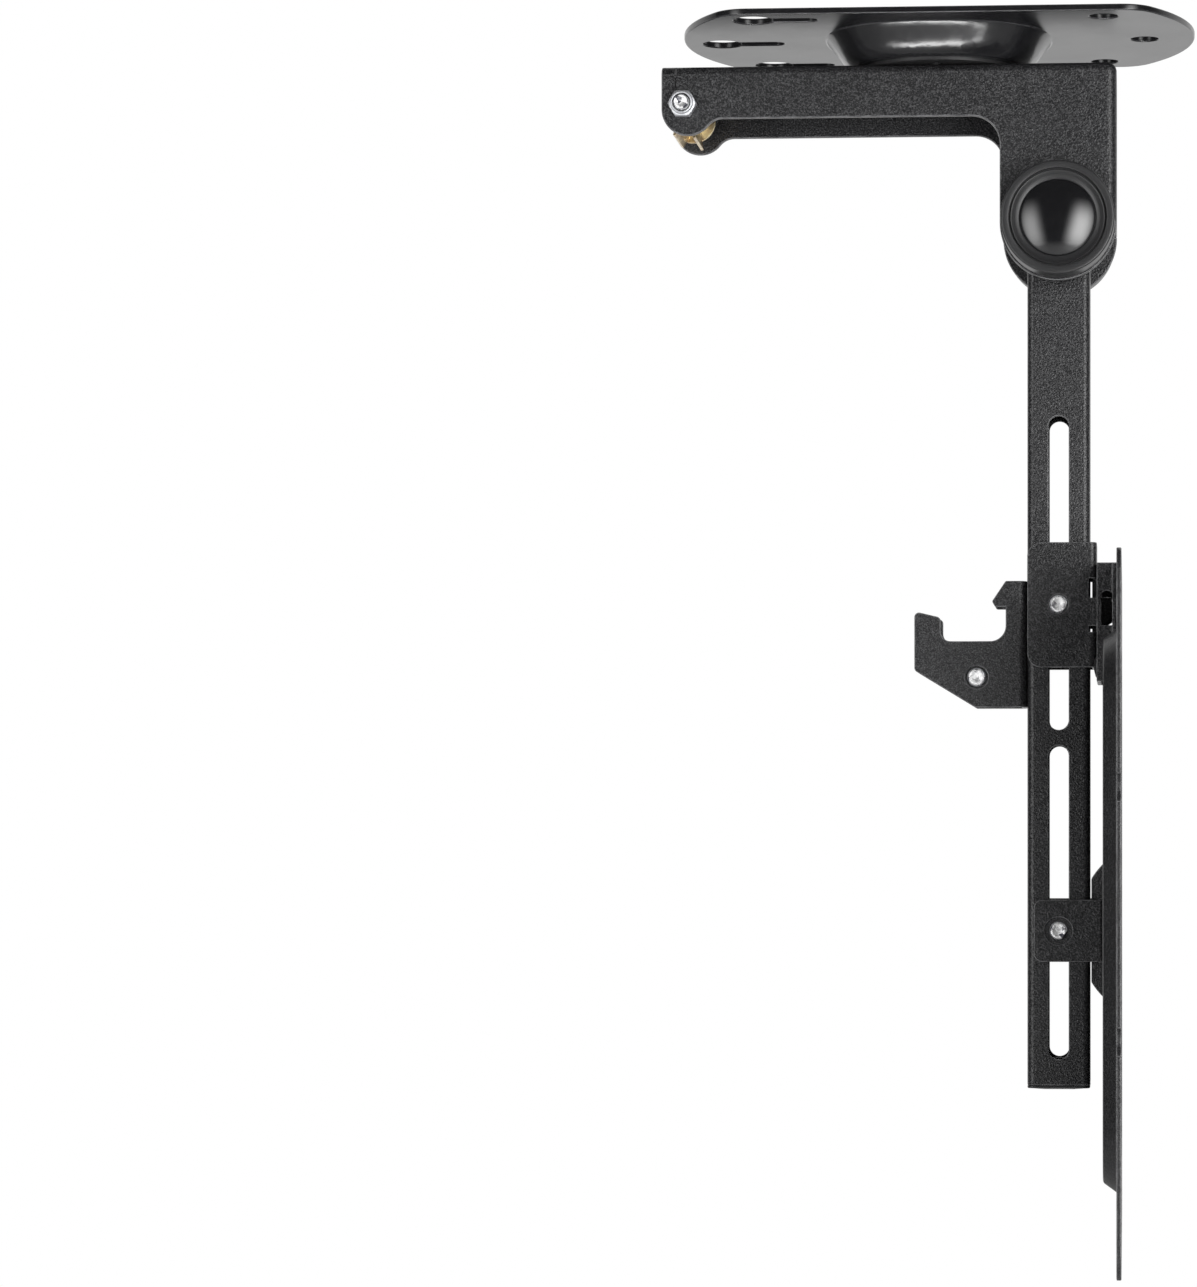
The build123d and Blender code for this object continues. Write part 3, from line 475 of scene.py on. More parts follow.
def make_plated():
    """Zinc plating: small crystals that differ in shade, a fine lumpy relief and a few dull spots.
    """
    group, given, result = open_group(
        "plated_steel", "ShaderNodeTree",
        [("Crystal Size", "NodeSocketFloat", 0.0012)],
        [("Shade", "NodeSocketFloat"), ("Dull", "NodeSocketFloat"), ("Height", "NodeSocketFloat")],
    )
    where = place(group, "ShaderNodeTexCoord").outputs["Object"]
    scale = math_node(group, "DIVIDE", 1.0, given.outputs["Crystal Size"])
    cells = place(group, "ShaderNodeTexVoronoi", {"Vector": where, "Scale": scale})
    grey = place(group, "ShaderNodeSeparateColor", {0: cells.outputs["Color"]})
    spot_scale = math_node(group, "MULTIPLY", scale, 0.4)
    spots = place(group, "ShaderNodeTexNoise",
                  {"Vector": where, "Scale": spot_scale, "Detail": 4.0})
    lump_scale = math_node(group, "MULTIPLY", scale, 1.1)
    lumps = place(group, "ShaderNodeTexNoise",
                  {"Vector": where, "Scale": lump_scale, "Detail": 3.0, "Roughness": 0.6})
    shade = math_node(group, "MULTIPLY_ADD", grey.outputs[0], 0.35,
                      math_node(group, "MULTIPLY", spots.outputs[0], 0.65))
    group.links.new(shade, result.inputs["Shade"])
    group.links.new(spots.outputs[0], result.inputs["Dull"])
    group.links.new(lumps.outputs[0], result.inputs["Height"])
    return group


plated_steel = make_plated()


def plated(name, dark, light, relief, low, high, crystal=0.0012, first_light=0.0, full_light=1.0):
    """A zinc-plated steel, between two shades and two roughnesses."""
    material = bpy.data.materials.new(name)
    material.use_nodes = True
    tree = material.node_tree
    shader = tree.nodes["Principled BSDF"]
    shader.inputs["Metallic"].default_value = 1.0
    finish = place(tree, "ShaderNodeGroup", node_tree=plated_steel)
    finish.inputs["Crystal Size"].default_value = crystal
    patch = place(tree, "ShaderNodeMapRange",
                  {"Value": finish.outputs["Shade"], "From Min": first_light,
                   "From Max": full_light})
    tree.links.new(mixed(tree, patch.outputs["Result"], dark, light), shader.inputs["Base Color"])
    tree.links.new(ranged(tree, finish.outputs["Dull"], low, high), shader.inputs["Roughness"])
    bump = place(tree, "ShaderNodeBump",
                 {"Height": finish.outputs["Height"], "Distance": relief})
    tree.links.new(bump.outputs["Normal"], shader.inputs["Normal"])
    return material


def moulded(name, colour, light, grain, relief, roughness, coat=0.0):
    """A moulded plastic with the fine spark texture of its tool, its lighter colour painted on as
    glints on the grain and as a highlight along the rounded edges.
    """
    return coated(name, colour, light, light, grain, relief, roughness, coat)


zinc = plated("zinc_plate", (0.62, 0.63, 0.66), (0.93, 0.94, 0.96),
              relief=0.000015, low=0.46, high=0.60)
# The lighter colours of the nylon and the rivets are painted glints on the grain and a painted
# highlight on the rounded edges.
nylon = moulded("black_nylon", (0.014, 0.014, 0.015), (0.03, 0.03, 0.03),
                grain=0.0006, relief=0.00002, roughness=0.5)
dark_rivet = coated("blackened_rivet", (0.015, 0.015, 0.016), (0.03, 0.03, 0.032),
                    (0.05, 0.05, 0.052), grain=0.0008, relief=0.00001, roughness=0.3)


def dress(node, material):
    """A solid that keeps its own shape and gets its finish."""
    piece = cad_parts[node]
    piece.data.materials.clear()
    piece.data.materials.append(material)


def hex_nut(flats, bore, height, chamfer=0.45):
    """Profile of a plain nut or of a head with a hole, closed round the bore."""
    corner = flats / 2 / math.cos(math.pi / 6)
    rise = corner - flats / 2
    return [
        (bore + 0.3, 0, 0), (flats / 2 - 0.3, 0, 0), (flats / 2 + rise * 0.3, rise * 0.3, 1),
        (flats / 2 + rise * 0.65, rise * 0.5, 1), (corner, rise * chamfer * 2, 1),
        (corner, height - rise * chamfer * 2, 1),
        (flats / 2 + rise * 0.65, height - rise * 0.5, 1),
        (flats / 2 + rise * 0.3, height - rise * 0.3, 1), (flats / 2 - 0.3, height, 0),
        (bore + 0.3, height, 0), (bore, height - 0.3, 0), (bore, 0.3, 0), (bore + 0.3, 0, 0),
    ]


def washer_profile(bore, radius, height, edge=0.2):
    """Profile of a flat washer with rounded rims, closed round the bore."""
    return [
        (bore + edge, 0, 0), (radius - edge, 0, 0), (radius - edge * 0.3, edge * 0.3, 0),
        (radius, edge, 0), (radius, height - edge, 0),
        (radius - edge * 0.3, height - edge * 0.3, 0), (radius - edge, height, 0),
        (bore + edge, height, 0), (bore, height - edge, 0), (bore, edge, 0), (bore + edge, 0, 0),
    ]


UP = (0.0, 0.0, 1.0)
NEAR = (0.0, -1.0, 0.0)
FAR = (0.0, 1.0, 0.0)

dish_floor = -9.5
yoke_top = -12.5
sheet = 2.0
swivel_play = 0.15
swivel_washer = 1.5
swivel_head = 6.0
swivel_head_top = yoke_top - sheet - swivel_play - swivel_washer

swivel_bolt_profile = [
    (0, 0.9, 0), (3.4, 0.9, 0), (3.9, 0.3, 0), (4.3, 0, 0), (6.9, 0, 0), (7.6, 0.3, 1),
    (8.4, 0.75, 1), (9.24, 1.3, 1), (9.24, 5.7, 1), (8.6, 6.0, 0), (5.0, 6.0, 0), (5.0, 18.4, 0),
    (4.6, 19.1, 0), (4.2, 19.3, 0), (1.2, 19.3, 0), (0, 19.1, 0),
]
bolt_foot = swivel_head_top - swivel_head
fit(turned("swivel_bolt_m10", [((0, 0, bolt_foot), UP, 12)], swivel_bolt_profile, zinc, 16.0),
    "ceiling", zinc, "zinc", "swivel_bolt")
fit(turned("swivel_nut_m10", [((0, 0, dish_floor + swivel_washer), UP, 20)],
           hex_nut(16.0, 5.05, 5.0), zinc, 16.0),
    "ceiling", zinc, "zinc", "swivel_nut")
swivel_washers = washer_profile(5.05, 10.5, swivel_washer)
fit(turned("swivel_washer_pair", [((0, 0, dish_floor), UP, 0), ((0, 0, swivel_head_top), UP, 0)],
           swivel_washers, zinc),
    "ceiling", zinc, "zinc", "swivel_washer_upper", "swivel_washer_lower")

disc_rivet_circle = 19.5
rivet_places = []
for index in range(6):
    turn = math.radians(60 * (index + 0.5))
    spot = (disc_rivet_circle * math.cos(turn), disc_rivet_circle * math.sin(turn), yoke_top)
    rivet_places.append((spot, UP, 0))
disc_rivet_profile = [
    (0, 0.35, 0), (0.9, 0.35, 0), (1.0, 0.15, 0), (1.8, 0.15, 0), (2.0, 0.35, 0), (2.0, 3.0, 0),
    (3.3, 3.0, 0), (3.4, 3.15, 0), (3.2, 3.5, 0), (2.5, 3.78, 0), (1.4, 3.88, 0), (0, 3.9, 0),
]
fit(turned("friction_disc_rivets", rivet_places, disc_rivet_profile, dark_rivet, steps=36),
    "ceiling", dark_rivet, "dark_rivet", "disc_rivets")
dress("friction_disc", nylon)


# Yoke
# Cut and folded from 2 mm steel into a channel with two round legs and a lobed end, then powder
# coated in a fine-textured satin black. It turns under the dish on the swivel bolt.

# Its second colour is a painted glint on the grain, and its third a painted highlight on the
# rounded edges.
powder = coated("textured_powder", (0.006, 0.006, 0.007), (0.090, 0.090, 0.093),
                (0.170, 0.170, 0.175), grain=0.00055, relief=0.00016, roughness=0.31)

web_gap = 4.0
bend_radius = 3.0
bend_steps = 8
yoke_half = 20.0


def channel_end(left, right, low):
    """A short length of the channel's top: its web, both bends and the start of its sides."""
    outer = [(yoke_half, low)]
    for step in range(bend_steps + 1):
        turn = math.pi / 2 * step / bend_steps
        outer.append((yoke_half - bend_radius * (1 - math.cos(turn)),
                      yoke_top - bend_radius * (1 - math.sin(turn))))
    inner = [(yoke_half - sheet, yoke_top - sheet), (yoke_half - sheet, low)]
    half = outer + [(-y, z) for y, z in reversed(outer)]
    section = half + [(-y, z) for y, z in reversed(inner)] + inner
    shape = bmesh.new()
    face = shape.faces.new([shape.verts.new((left * MM, y * MM, z * MM)) for y, z in section])
    pushed = bmesh.ops.extrude_face_region(shape, geom=[face])
    moved = [item for item in pushed["geom"] if isinstance(item, bmesh.types.BMVert)]
    bmesh.ops.translate(shape, verts=moved, vec=((right - left) * MM, 0, 0))
    bmesh.ops.recalc_face_normals(shape, faces=shape.faces)
    mesh = bpy.data.meshes.new("channel_end")
    shape.to_mesh(mesh)
    shape.free()
    return new_piece("channel_end", mesh)


def block(low, high):
    """A plain box between two corners, in mm."""
    shape = bmesh.new()
    bmesh.ops.create_cube(shape, size=1.0)
    for vertex in shape.verts:
        vertex.co = Vector([(low[i] if vertex.co[i] < 0 else high[i]) * MM for i in range(3)])
    mesh = bpy.data.meshes.new("block")
    shape.to_mesh(mesh)
    shape.free()
    return new_piece("block", mesh)


def combine(piece, other, operation):
    """Cuts one form from a piece or welds it on, and removes the helper."""
    modifier = piece.modifiers.new(operation, "BOOLEAN")
    modifier.operation = operation
    modifier.solver = "EXACT"
    modifier.object = other
    settle(piece)
    bpy.data.objects.remove(other)


yoke = joined_copy("yoke", "yoke_sheet")
yoke_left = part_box("yoke")[0].x / MM
overlap = 0.5
seam = yoke_left + web_gap + overlap
step_down = yoke_top - bend_radius - 1.0
combine(yoke, block((yoke_left - 1, -30, step_down), (seam, 30, 0)), "DIFFERENCE")
combine(yoke, channel_end(yoke_left, seam, step_down), "UNION")
yoke.data.shade_smooth()
fit(round_edges(yoke, 0.00035), "yoke", powder, "powder", "yoke")


# Fold axis and its covers
# An M10 bolt runs through both legs, with nylon spacers beside the arm. On each side a satin
# plastic ring clips over the bolt's end, and a polished dome snaps into the ring.

for node in ("fold_bolt", "fold_nut", "fold_washer_near", "fold_washer_far"):
    dress(node, zinc)
for node in ("fold_spacer_near", "fold_spacer_far", "fold_bush"):
    dress(node, nylon)

# The lighter colour of each plastic is painted as glints on the grain and as a highlight on the
# rounded edges.
cap_plastic = moulded("satin_cover", (0.026, 0.026, 0.027), (0.036, 0.036, 0.037),
                      grain=0.0004, relief=0.000010, roughness=0.34)
dome_plastic = moulded("polished_dome", (0.006, 0.006, 0.007), (0.008, 0.008, 0.009),
                       grain=0.003, relief=0.000004, roughness=0.13, coat=0.6)

fold_x = 38.6
fold_z = -63.2
ring_profile = [
    (11.0, 0.0, 0), (17.6, 0.0, 0), (17.9, 0.3, 0), (17.9, 10.3, 0), (17.84, 10.62, 0),
    (17.67, 10.84, 0), (17.45, 10.96, 0), (17.2, 11.0, 0), (15.65, 11.0, 0), (15.5, 10.95, 0),
    (15.42, 10.8, 0), (15.4, 9.6, 0), (14.85, 9.6, 0), (14.82, 10.35, 0), (14.7, 10.5, 0),
    (14.5, 10.45, 0), (13.9, 9.75, 0), (13.2, 9.25, 0), (12.4, 8.95, 0), (12.06, 8.8, 0),
    (12.05, 7.9, 0), (11.0, 7.9, 0), (11.0, 0.0, 0),
]
dome_radius = 12.0
dome_rise = 2.8
dome_back = 7.9
dome_shoulder = 9.4
dome_rim = 11.9
dome_steps = 24
dome_sphere = (dome_radius ** 2 + dome_rise ** 2) / (2 * dome_rise)
dome_profile = [(0, dome_back, 0), (dome_radius, dome_back, 0), (dome_radius, 9.15, 0),
                (11.97, 9.32, 0), (dome_rim, 9.42, 0)]
for step in range(1, dome_steps + 1):
    radius = dome_rim * (1 - step / dome_steps)
    height = dome_shoulder + dome_rise - dome_sphere + math.sqrt(dome_sphere ** 2 - radius ** 2)
    dome_profile.append((radius, height, 0))
for side, facing in (("near", NEAR), ("far", FAR)):
    foot = (fold_x, yoke_half * facing[1], fold_z)
    fit(turned("cover_ring_" + side, [(foot, facing, 0)], ring_profile, cap_plastic, steps=144),
        "yoke", cap_plastic, "cap_plastic", "cap_ring_" + side)
    fit(turned("cover_dome_" + side, [(foot, facing, 0)], dome_profile, dome_plastic, steps=144),
        "yoke", dome_plastic, "dome_plastic", "cap_dome_" + side)


# Latch bolt
# An M5 bolt through the lobes at the yoke's end, with a lock nut on the near side whose
# collar grips a nylon ring, and two plain sleeves that keep the catch in the middle.

latch_x = -80.7
latch_z = -24.8


def thread_tree():
    """The last turns of a rolled thread, as a ridge along a helix, at each given place."""
    tree, given, result = open_group(
        "rolled_thread", "GeometryNodeTree",
        [("Geometry", "NodeSocketGeometry", None), ("Radius", "NodeSocketFloat", 0.0026),
         ("Pitch", "NodeSocketFloat", 0.001), ("Turns", "NodeSocketFloat", 3.0),
         ("Coat", "NodeSocketMaterial", None)],
        [("Geometry", "NodeSocketGeometry")],
    )
    height = math_node(tree, "MULTIPLY", given.outputs["Pitch"], given.outputs["Turns"])
    helix = place(tree, "GeometryNodeCurveSpiral",
                  {"Resolution": 40, "Rotations": given.outputs["Turns"],
                   "Start Radius": given.outputs["Radius"],
                   "End Radius": given.outputs["Radius"], "Height": height})
    ridge_radius = math_node(tree, "MULTIPLY", given.outputs["Pitch"], 0.36)
    ridge = place(tree, "GeometryNodeCurvePrimitiveCircle",
                  {"Resolution": 6, "Radius": ridge_radius}, mode="RADIUS")
    swept = place(tree, "GeometryNodeCurveToMesh",
                  {"Curve": helix.outputs[0], "Profile Curve": ridge.outputs[0], "Fill Caps": True})
    aim = place(tree, "FunctionNodeAlignRotationToVector",
                {"Vector": carried(tree, "facing", "FLOAT_VECTOR")}, axis="Z")
    copies = place(tree, "GeometryNodeInstanceOnPoints",
                   {"Points": given.outputs["Geometry"], "Instance": swept.outputs[0],
                    "Rotation": aim.outputs[0]})
    real = place(tree, "GeometryNodeRealizeInstances", {"Geometry": copies.outputs[0]})
    coat = place(tree, "GeometryNodeSetMaterial",
                 {"Geometry": real.outputs[0], "Material": given.outputs["Coat"]})
    tree.links.new(coat.outputs[0], result.inputs[0])
    return tree


rolled_thread = thread_tree()


def thread(name, places, radius, pitch, turns, coat):
    """Thread ends from radius and pitch in mm, each at a point and facing a way."""
    spots = points_mesh(name + "_places", [[x * MM for x in p] for p, _ in places],
                        facing=[f for _, f in places])
    values = {"Radius": radius * MM, "Pitch": pitch * MM, "Turns": turns, "Coat": coat}
    return outward(grown(name, spots, rolled_thread, values), 60)


bolt_end = plated("bolt_end", (0.10, 0.10, 0.12), (1.0, 1.0, 1.0),
                  relief=0.00026, low=0.50, high=0.62, first_light=0.34, full_light=0.48)
corner = 4.62
latch_bolt_profile = [
    (0, 0.5, 0), (2.2, 0.35, 0), (3.2, 0, 0), (4.2, 0.4, 1), (corner, 0.8, 1), (corner, 3.5, 1),
    (2.5, 3.5, 0), (2.5, 47.8, 0), (2.3, 48.0, 0), (2.28, 49.1, 0), (2.1, 49.35, 0),
    (1.7, 49.4, 0), (1.2, 49.2, 0), (0.6, 49.0, 0), (0, 48.95, 0),
]
fit(turned("latch_bolt_m5", [((latch_x, 23.5, latch_z), NEAR, 0)], latch_bolt_profile,
           bolt_end, 8.0),
    "yoke", bolt_end, "zinc", "latch_bolt")
fit(thread("latch_bolt_thread", [((latch_x, -24.9, latch_z), NEAR)],
           radius=2.24, pitch=0.5, turns=1.6, coat=zinc),
    "yoke", zinc, "zinc")
latch_nut_profile = [
    (2.85, 0, 0), (3.7, 0, 0), (4.2, 0.15, 1), (corner, 0.45, 1), (corner, 2.9, 1),
    (4.4, 3.2, 1), (4.15, 3.42, 1), (3.85, 3.55, 0), (3.62, 3.62, 0), (3.6, 4.3, 0),
    (3.55, 4.7, 0), (3.4, 4.93, 0), (3.2, 5.0, 0), (3.0, 4.93, 0), (2.88, 4.75, 0),
    (2.85, 4.4, 0), (2.85, 0, 0),
]
nut_foot = (latch_x, -yoke_half, latch_z)
fit(turned("latch_lock_nut", [(nut_foot, NEAR, 30)], latch_nut_profile, zinc, 8.0),
    "yoke", zinc, "zinc", "latch_nut")
fit(turned("latch_nut_ring", [(nut_foot, NEAR, 0)],
           [(2.55, 0.2, 0), (2.8, 0.2, 0), (2.8, 4.45, 0), (2.55, 4.3, 0), (2.55, 0.2, 0)], nylon),
    "yoke", nylon, "nylon")
for node in ("latch_sleeve_near", "latch_sleeve_far"):
    dress(node, zinc)


# Latch catch
# A turned and milled steel catch with two prongs and a round end plate, plated in yellow zinc.
# It pivots on the latch bolt between the two sleeves and holds the folded arm by its hook.

yellow_zinc = plated("yellow_zinc_plate", (0.34, 0.18, 0.08), (0.99, 0.90, 0.62),
                     relief=0.00008, low=0.22, high=0.40, crystal=0.0028,
                     first_light=0.10, full_light=0.85)
fit(formed_from("latch_catch", "catch_with_prongs", 0.00015),
    "catch", yellow_zinc, "yellow_zinc", "latch_catch")


# Arm
# A 20 mm square tube with two long slots milled through it for the height adjustment, powder
# coated, with a bush welded in at the top and a plastic plug pushed into its lower end.

def tube_tree():
    """A square tube with rounded corners, slotted right through at each given point."""
    tree, given, result = open_group(
        "slotted_tube", "GeometryNodeTree",
        [("Geometry", "NodeSocketGeometry", None), ("Width", "NodeSocketFloat", 0.02),
         ("Wall", "NodeSocketFloat", 0.0015), ("Corner", "NodeSocketFloat", 0.0022),
         ("Foot", "NodeSocketVector", (0.0, 0.0, 0.0)), ("Length", "NodeSocketFloat", 0.3),
         ("Slot Width", "NodeSocketFloat", 0.0064), ("Slot Length", "NodeSocketFloat", 0.1),
         ("Bore Radius", "NodeSocketFloat", 0.007), ("Bore Height", "NodeSocketFloat", 0.27),
         ("Coat", "NodeSocketMaterial", None)],
        [("Geometry", "NodeSocketGeometry")],
    )

    def square_bar(width, corner, low, length):
        outline = place(tree, "GeometryNodeCurvePrimitiveQuadrilateral",
                        {"Width": width, "Height": width})
        outline = place(tree, "GeometryNodeFilletCurve",
                        {"Curve": outline.outputs[0], "Radius": corner, "Count": 5}, mode="POLY")
        top = place(tree, "ShaderNodeCombineXYZ", {"Z": math_node(tree, "ADD", low, length)})
        start = place(tree, "ShaderNodeCombineXYZ", {"Z": low})
        line = place(tree, "GeometryNodeCurvePrimitiveLine",
                     {"Start": start.outputs[0], "End": top.outputs[0]})
        return place(tree, "GeometryNodeCurveToMesh",
                     {"Curve": line.outputs[0], "Profile Curve": outline.outputs[0],
                      "Fill Caps": True}).outputs[0]

    width, wall = given.outputs["Width"], given.outputs["Wall"]
    bore = math_node(tree, "MULTIPLY_ADD", wall, -2.0, width)
    bore_corner = math_node(tree, "SUBTRACT", given.outputs["Corner"], wall)
    outside = square_bar(width, given.outputs["Corner"], 0.0, given.outputs["Length"])
    bore_length = math_node(tree, "ADD", given.outputs["Length"], 0.02)
    inside = square_bar(bore, bore_corner, -0.01, bore_length)
    slot = place(tree, "GeometryNodeCurvePrimitiveQuadrilateral",
                 {"Width": given.outputs["Slot Width"], "Height": given.outputs["Slot Length"]})
    slot_round = math_node(tree, "MULTIPLY", given.outputs["Slot Width"], 0.4999)
    slot = place(tree, "GeometryNodeFilletCurve",
                 {"Curve": slot.outputs[0], "Count": 14, "Radius": slot_round}, mode="POLY")
    through = place(tree, "GeometryNodeCurvePrimitiveLine",
                    {"Start": (0.0, 0.0, -0.02), "End": (0.0, 0.0, 0.02)})
    cutter = place(tree, "GeometryNodeCurveToMesh",
                   {"Curve": through.outputs[0], "Profile Curve": slot.outputs[0],
                    "Fill Caps": True})
    cutter = place(tree, "GeometryNodeTransform",
                   {"Geometry": cutter.outputs[0], "Rotation": (math.pi / 2, 0.0, 0.0)})
    cutters = place(tree, "GeometryNodeInstanceOnPoints",
                    {"Points": given.outputs["Geometry"], "Instance": cutter.outputs[0]})
    cutters = place(tree, "GeometryNodeRealizeInstances", {"Geometry": cutters.outputs[0]})
    hole = place(tree, "GeometryNodeMeshCylinder",
                 {"Vertices": 64, "Radius": given.outputs["Bore Radius"], "Depth": 0.04})
    across = place(tree, "ShaderNodeCombineXYZ", {"Z": given.outputs["Bore Height"]})
    hole = place(tree, "GeometryNodeTransform",
                 {"Geometry": hole.outputs[0], "Rotation": (math.pi / 2, 0.0, 0.0),
                  "Translation": across.outputs[0]})
    pierced = place(tree, "GeometryNodeMeshBoolean", operation="DIFFERENCE", solver="EXACT")
    tree.links.new(outside, pierced.inputs["Mesh 1"])
    for cut in (inside, cutters.outputs[0], hole.outputs[0]):
        tree.links.new(cut, pierced.inputs["Mesh 2"])
    standing = place(tree, "GeometryNodeTransform",
                     {"Geometry": pierced.outputs[0], "Translation": given.outputs["Foot"]})
    coat = place(tree, "GeometryNodeSetMaterial",
                 {"Geometry": standing.outputs[0], "Material": given.outputs["Coat"]})
    tree.links.new(coat.outputs[0], result.inputs[0])
    return tree


tube_low, tube_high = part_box("arm_tube")
slotted_tube = tube_tree()
slot_tops_and_halves = ((60.5, 50.0), (165.5, 50.15))
slot_centres = [(0, 0, (fold_z - top - half) * MM - tube_low.z)
                for top, half in slot_tops_and_halves]
tube = grown("slotted_arm", points_mesh("slot_centres", slot_centres), slotted_tube, {
    "Width": 20.0 * MM, "Wall": 1.5 * MM, "Corner": 2.2 * MM,
    "Foot": (fold_x * MM, 0.0, tube_low.z), "Length": tube_high.z - tube_low.z,
    "Slot Width": 6.4 * MM, "Slot Length": 100.1 * MM,
    "Bore Radius": 7.1 * MM, "Bore Height": fold_z * MM - tube_low.z, "Coat": powder,
})
tube.data.shade_smooth()
fit(round_edges(tube, 0.00035), "arm", powder, "powder", "arm_tube")
fit(formed_from("arm_end_plug", "arm_plug_with_lip", 0.0003),
    "arm", cap_plastic, "cap_plastic", "arm_end_plug")


# Hook
# A folded channel cut to a hook on both sides, powder coated and held to the arm's back with two
# blind rivets. A bolt with a sleeve braces it below the notch, its end proud of the near side.

fit(formed_from("hook_bracket", "hook_channel", 0.0003), "arm", powder, "powder", "hook_bracket")
hook_top = fold_z - 113.0
arm_left_face = 28.6
rivets_below_top = (8.0, 32.0)
hook_rivets = [((arm_left_face, 0, hook_top - below), (-1.0, 0.0, 0.0), 0)
               for below in rivets_below_top]
blind_rivet_profile = [
    (0, -1.2, 0), (1.2, -2.3, 0), (3.1, -2.45, 0), (3.2, -1.9, 0), (2.6, -1.5, 0), (2.4, -1.5, 0),
    (2.4, 2.0, 0), (4.1, 2.0, 0), (4.2, 2.2, 0), (4.0, 2.6, 0), (3.2, 3.05, 0), (2.0, 3.35, 0),
    (1.2, 3.4, 0), (1.05, 3.2, 0), (1.0, 2.6, 0), (0, 2.55, 0),
]
fit(turned("hook_blind_rivets", hook_rivets, blind_rivet_profile, dark_rivet, steps=48),
    "arm", dark_rivet, "powder", "hook_rivets")


def clamp_bolt(name, x, z, near, far, body, node):
    """A flanged M6 bolt from the far side: its forged end shows at the near side."""
    grip = near + far
    profile = [
        (0, 0.02, 0), (0.5, 0.04, 0), (1.0, 0.12, 0), (1.45, 0.26, 0), (1.8, 0.37, 0),
        (2.05, 0.4, 0), (2.3, 0.38, 0), (2.5, 0.28, 0), (2.68, 0.05, 0), (2.72, -2.0, 0),
        (3.0, -2.3, 0), (3.0, -grip, 0), (6.1, -grip, 0), (6.4, -grip - 0.15, 0),
        (6.4, -grip - 0.7, 0), (6.1, -grip - 1.0, 0), (5.9, -grip - 1.1, 1),
        (5.77, -grip - 1.3, 1), (5.77, -grip - 4.4, 1), (5.4, -grip - 4.8, 1),
        (4.8, -grip - 5.1, 0), (3.6, -grip - 5.1, 0), (3.2, -grip - 4.7, 0), (0, -grip - 4.6, 0),
    ]
    fit(turned(name, [((x, -near, z), NEAR, 0)], profile, bolt_end, 10.0),
        body, bolt_end, "zinc", node)
    fit(thread(name + "_thread", [((x, -near + 1.75, z), NEAR)],
               radius=2.68, pitch=0.9, turns=2.0, coat=zinc),
        body, zinc, "zinc")


hook_bolt_x = 12.4
hook_bolt_z = hook_top - 30.7
clamp_bolt("hook_bolt_m6", hook_bolt_x, hook_bolt_z, 10.0, 10.0, "arm", "hook_bolt")
dress("hook_insert", powder)
dress("hook_sleeve", zinc)


# Upper bracket
# A folded powder-coated channel that slides on the arm. A clamp bolt through its sides and the
# arm's upper slot sets the height, and two noses cut from its sides carry the display plate.

fit(formed_from("upper_bracket", "upper_bracket_channel", 0.0003),
    "carriage", powder, "powder", "upper_bracket")
upper_bolt_z = fold_z - 120.5
clamp_bolt("upper_bolt_m6", fold_x, upper_bolt_z, 11.65, 11.65, "carriage", "upper_bolt")


# Display plate with its hanger
# A square pressing with a raised field, drilled for the usual screen patterns and notched at its
# sides. A folded tray riveted to its back drops over the two noses.

# Its second colour is a painted glint on the grain, and its third a painted highlight on the
# rounded edges.
plate_powder = coated("plate_powder", (0.014, 0.014, 0.015), (0.055, 0.055, 0.057),
                      (0.150, 0.150, 0.154), grain=0.0006, relief=0.00009, roughness=0.32)
fit(formed_from("display_plate", "display_pressing", 0.0003),
    "carriage", plate_powder, "plate_powder", "display_plate")
fit(formed_from("hanger", "hanger_tray", 0.00025), "carriage", powder, "powder", "hanger")
hanger_low, hanger_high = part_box("hanger_rivets")
hanger_z = (hanger_low.z + hanger_high.z) / 2 / MM
rivet_head = 0.9
thin_sheet = 1.5
hanger_face = hanger_low.x / MM + rivet_head
rivet_reach = (hanger_high.x - hanger_low.x) / MM - rivet_head
collar_low = rivet_reach - rivet_head - thin_sheet
hanger_rivet_profile = [
    (0, -rivet_head, 0), (1.2, -0.87, 0), (2.2, -0.65, 0), (2.8, -0.25, 0), (2.9, 0, 0),
    (1.6, 0, 0), (1.6, thin_sheet, 0), (2.8, thin_sheet, 0), (2.8, collar_low, 0),
    (1.6, collar_low, 0), (1.6, rivet_reach - rivet_head, 0), (2.9, rivet_reach - rivet_head, 0),
    (2.8, rivet_reach - 0.65, 0), (2.2, rivet_reach - 0.2, 0), (1.2, rivet_reach - 0.03, 0),
    (0, rivet_reach, 0),
]
hanger_rivets = [((hanger_face, y, hanger_z), (1.0, 0.0, 0.0), 0) for y in (-16.0, 16.0)]
fit(turned("hanger_plate_rivets", hanger_rivets, hanger_rivet_profile, powder, steps=36),
    "carriage", powder, "powder", "hanger_rivets")


# Lower bracket
# Two ears round the arm and a pressed saddle welded to the display plate, powder coated. Its
# clamp bolt runs through the arm's lower slot and ends just inside a threaded ring.

fit(formed_from("lower_bracket", "lower_bracket_saddle", 0.0003),
    "carriage", powder, "powder", "lower_bracket")
lower_bolt_z = fold_z - 224.6
clamp_bolt("lower_bolt_m6", fold_x, lower_bolt_z, 10.95, 11.65, "carriage", "lower_bolt")
dress("lower_insert", powder)


# Floor, light and camera
# A pale round floor, soft boxes to the right and left of the camera and a pale surround behind
# the mount. A low strip lights only the ceiling plate and the catch. The camera stands level
# with the arm's lower slot and looks nearly along the fold axis.

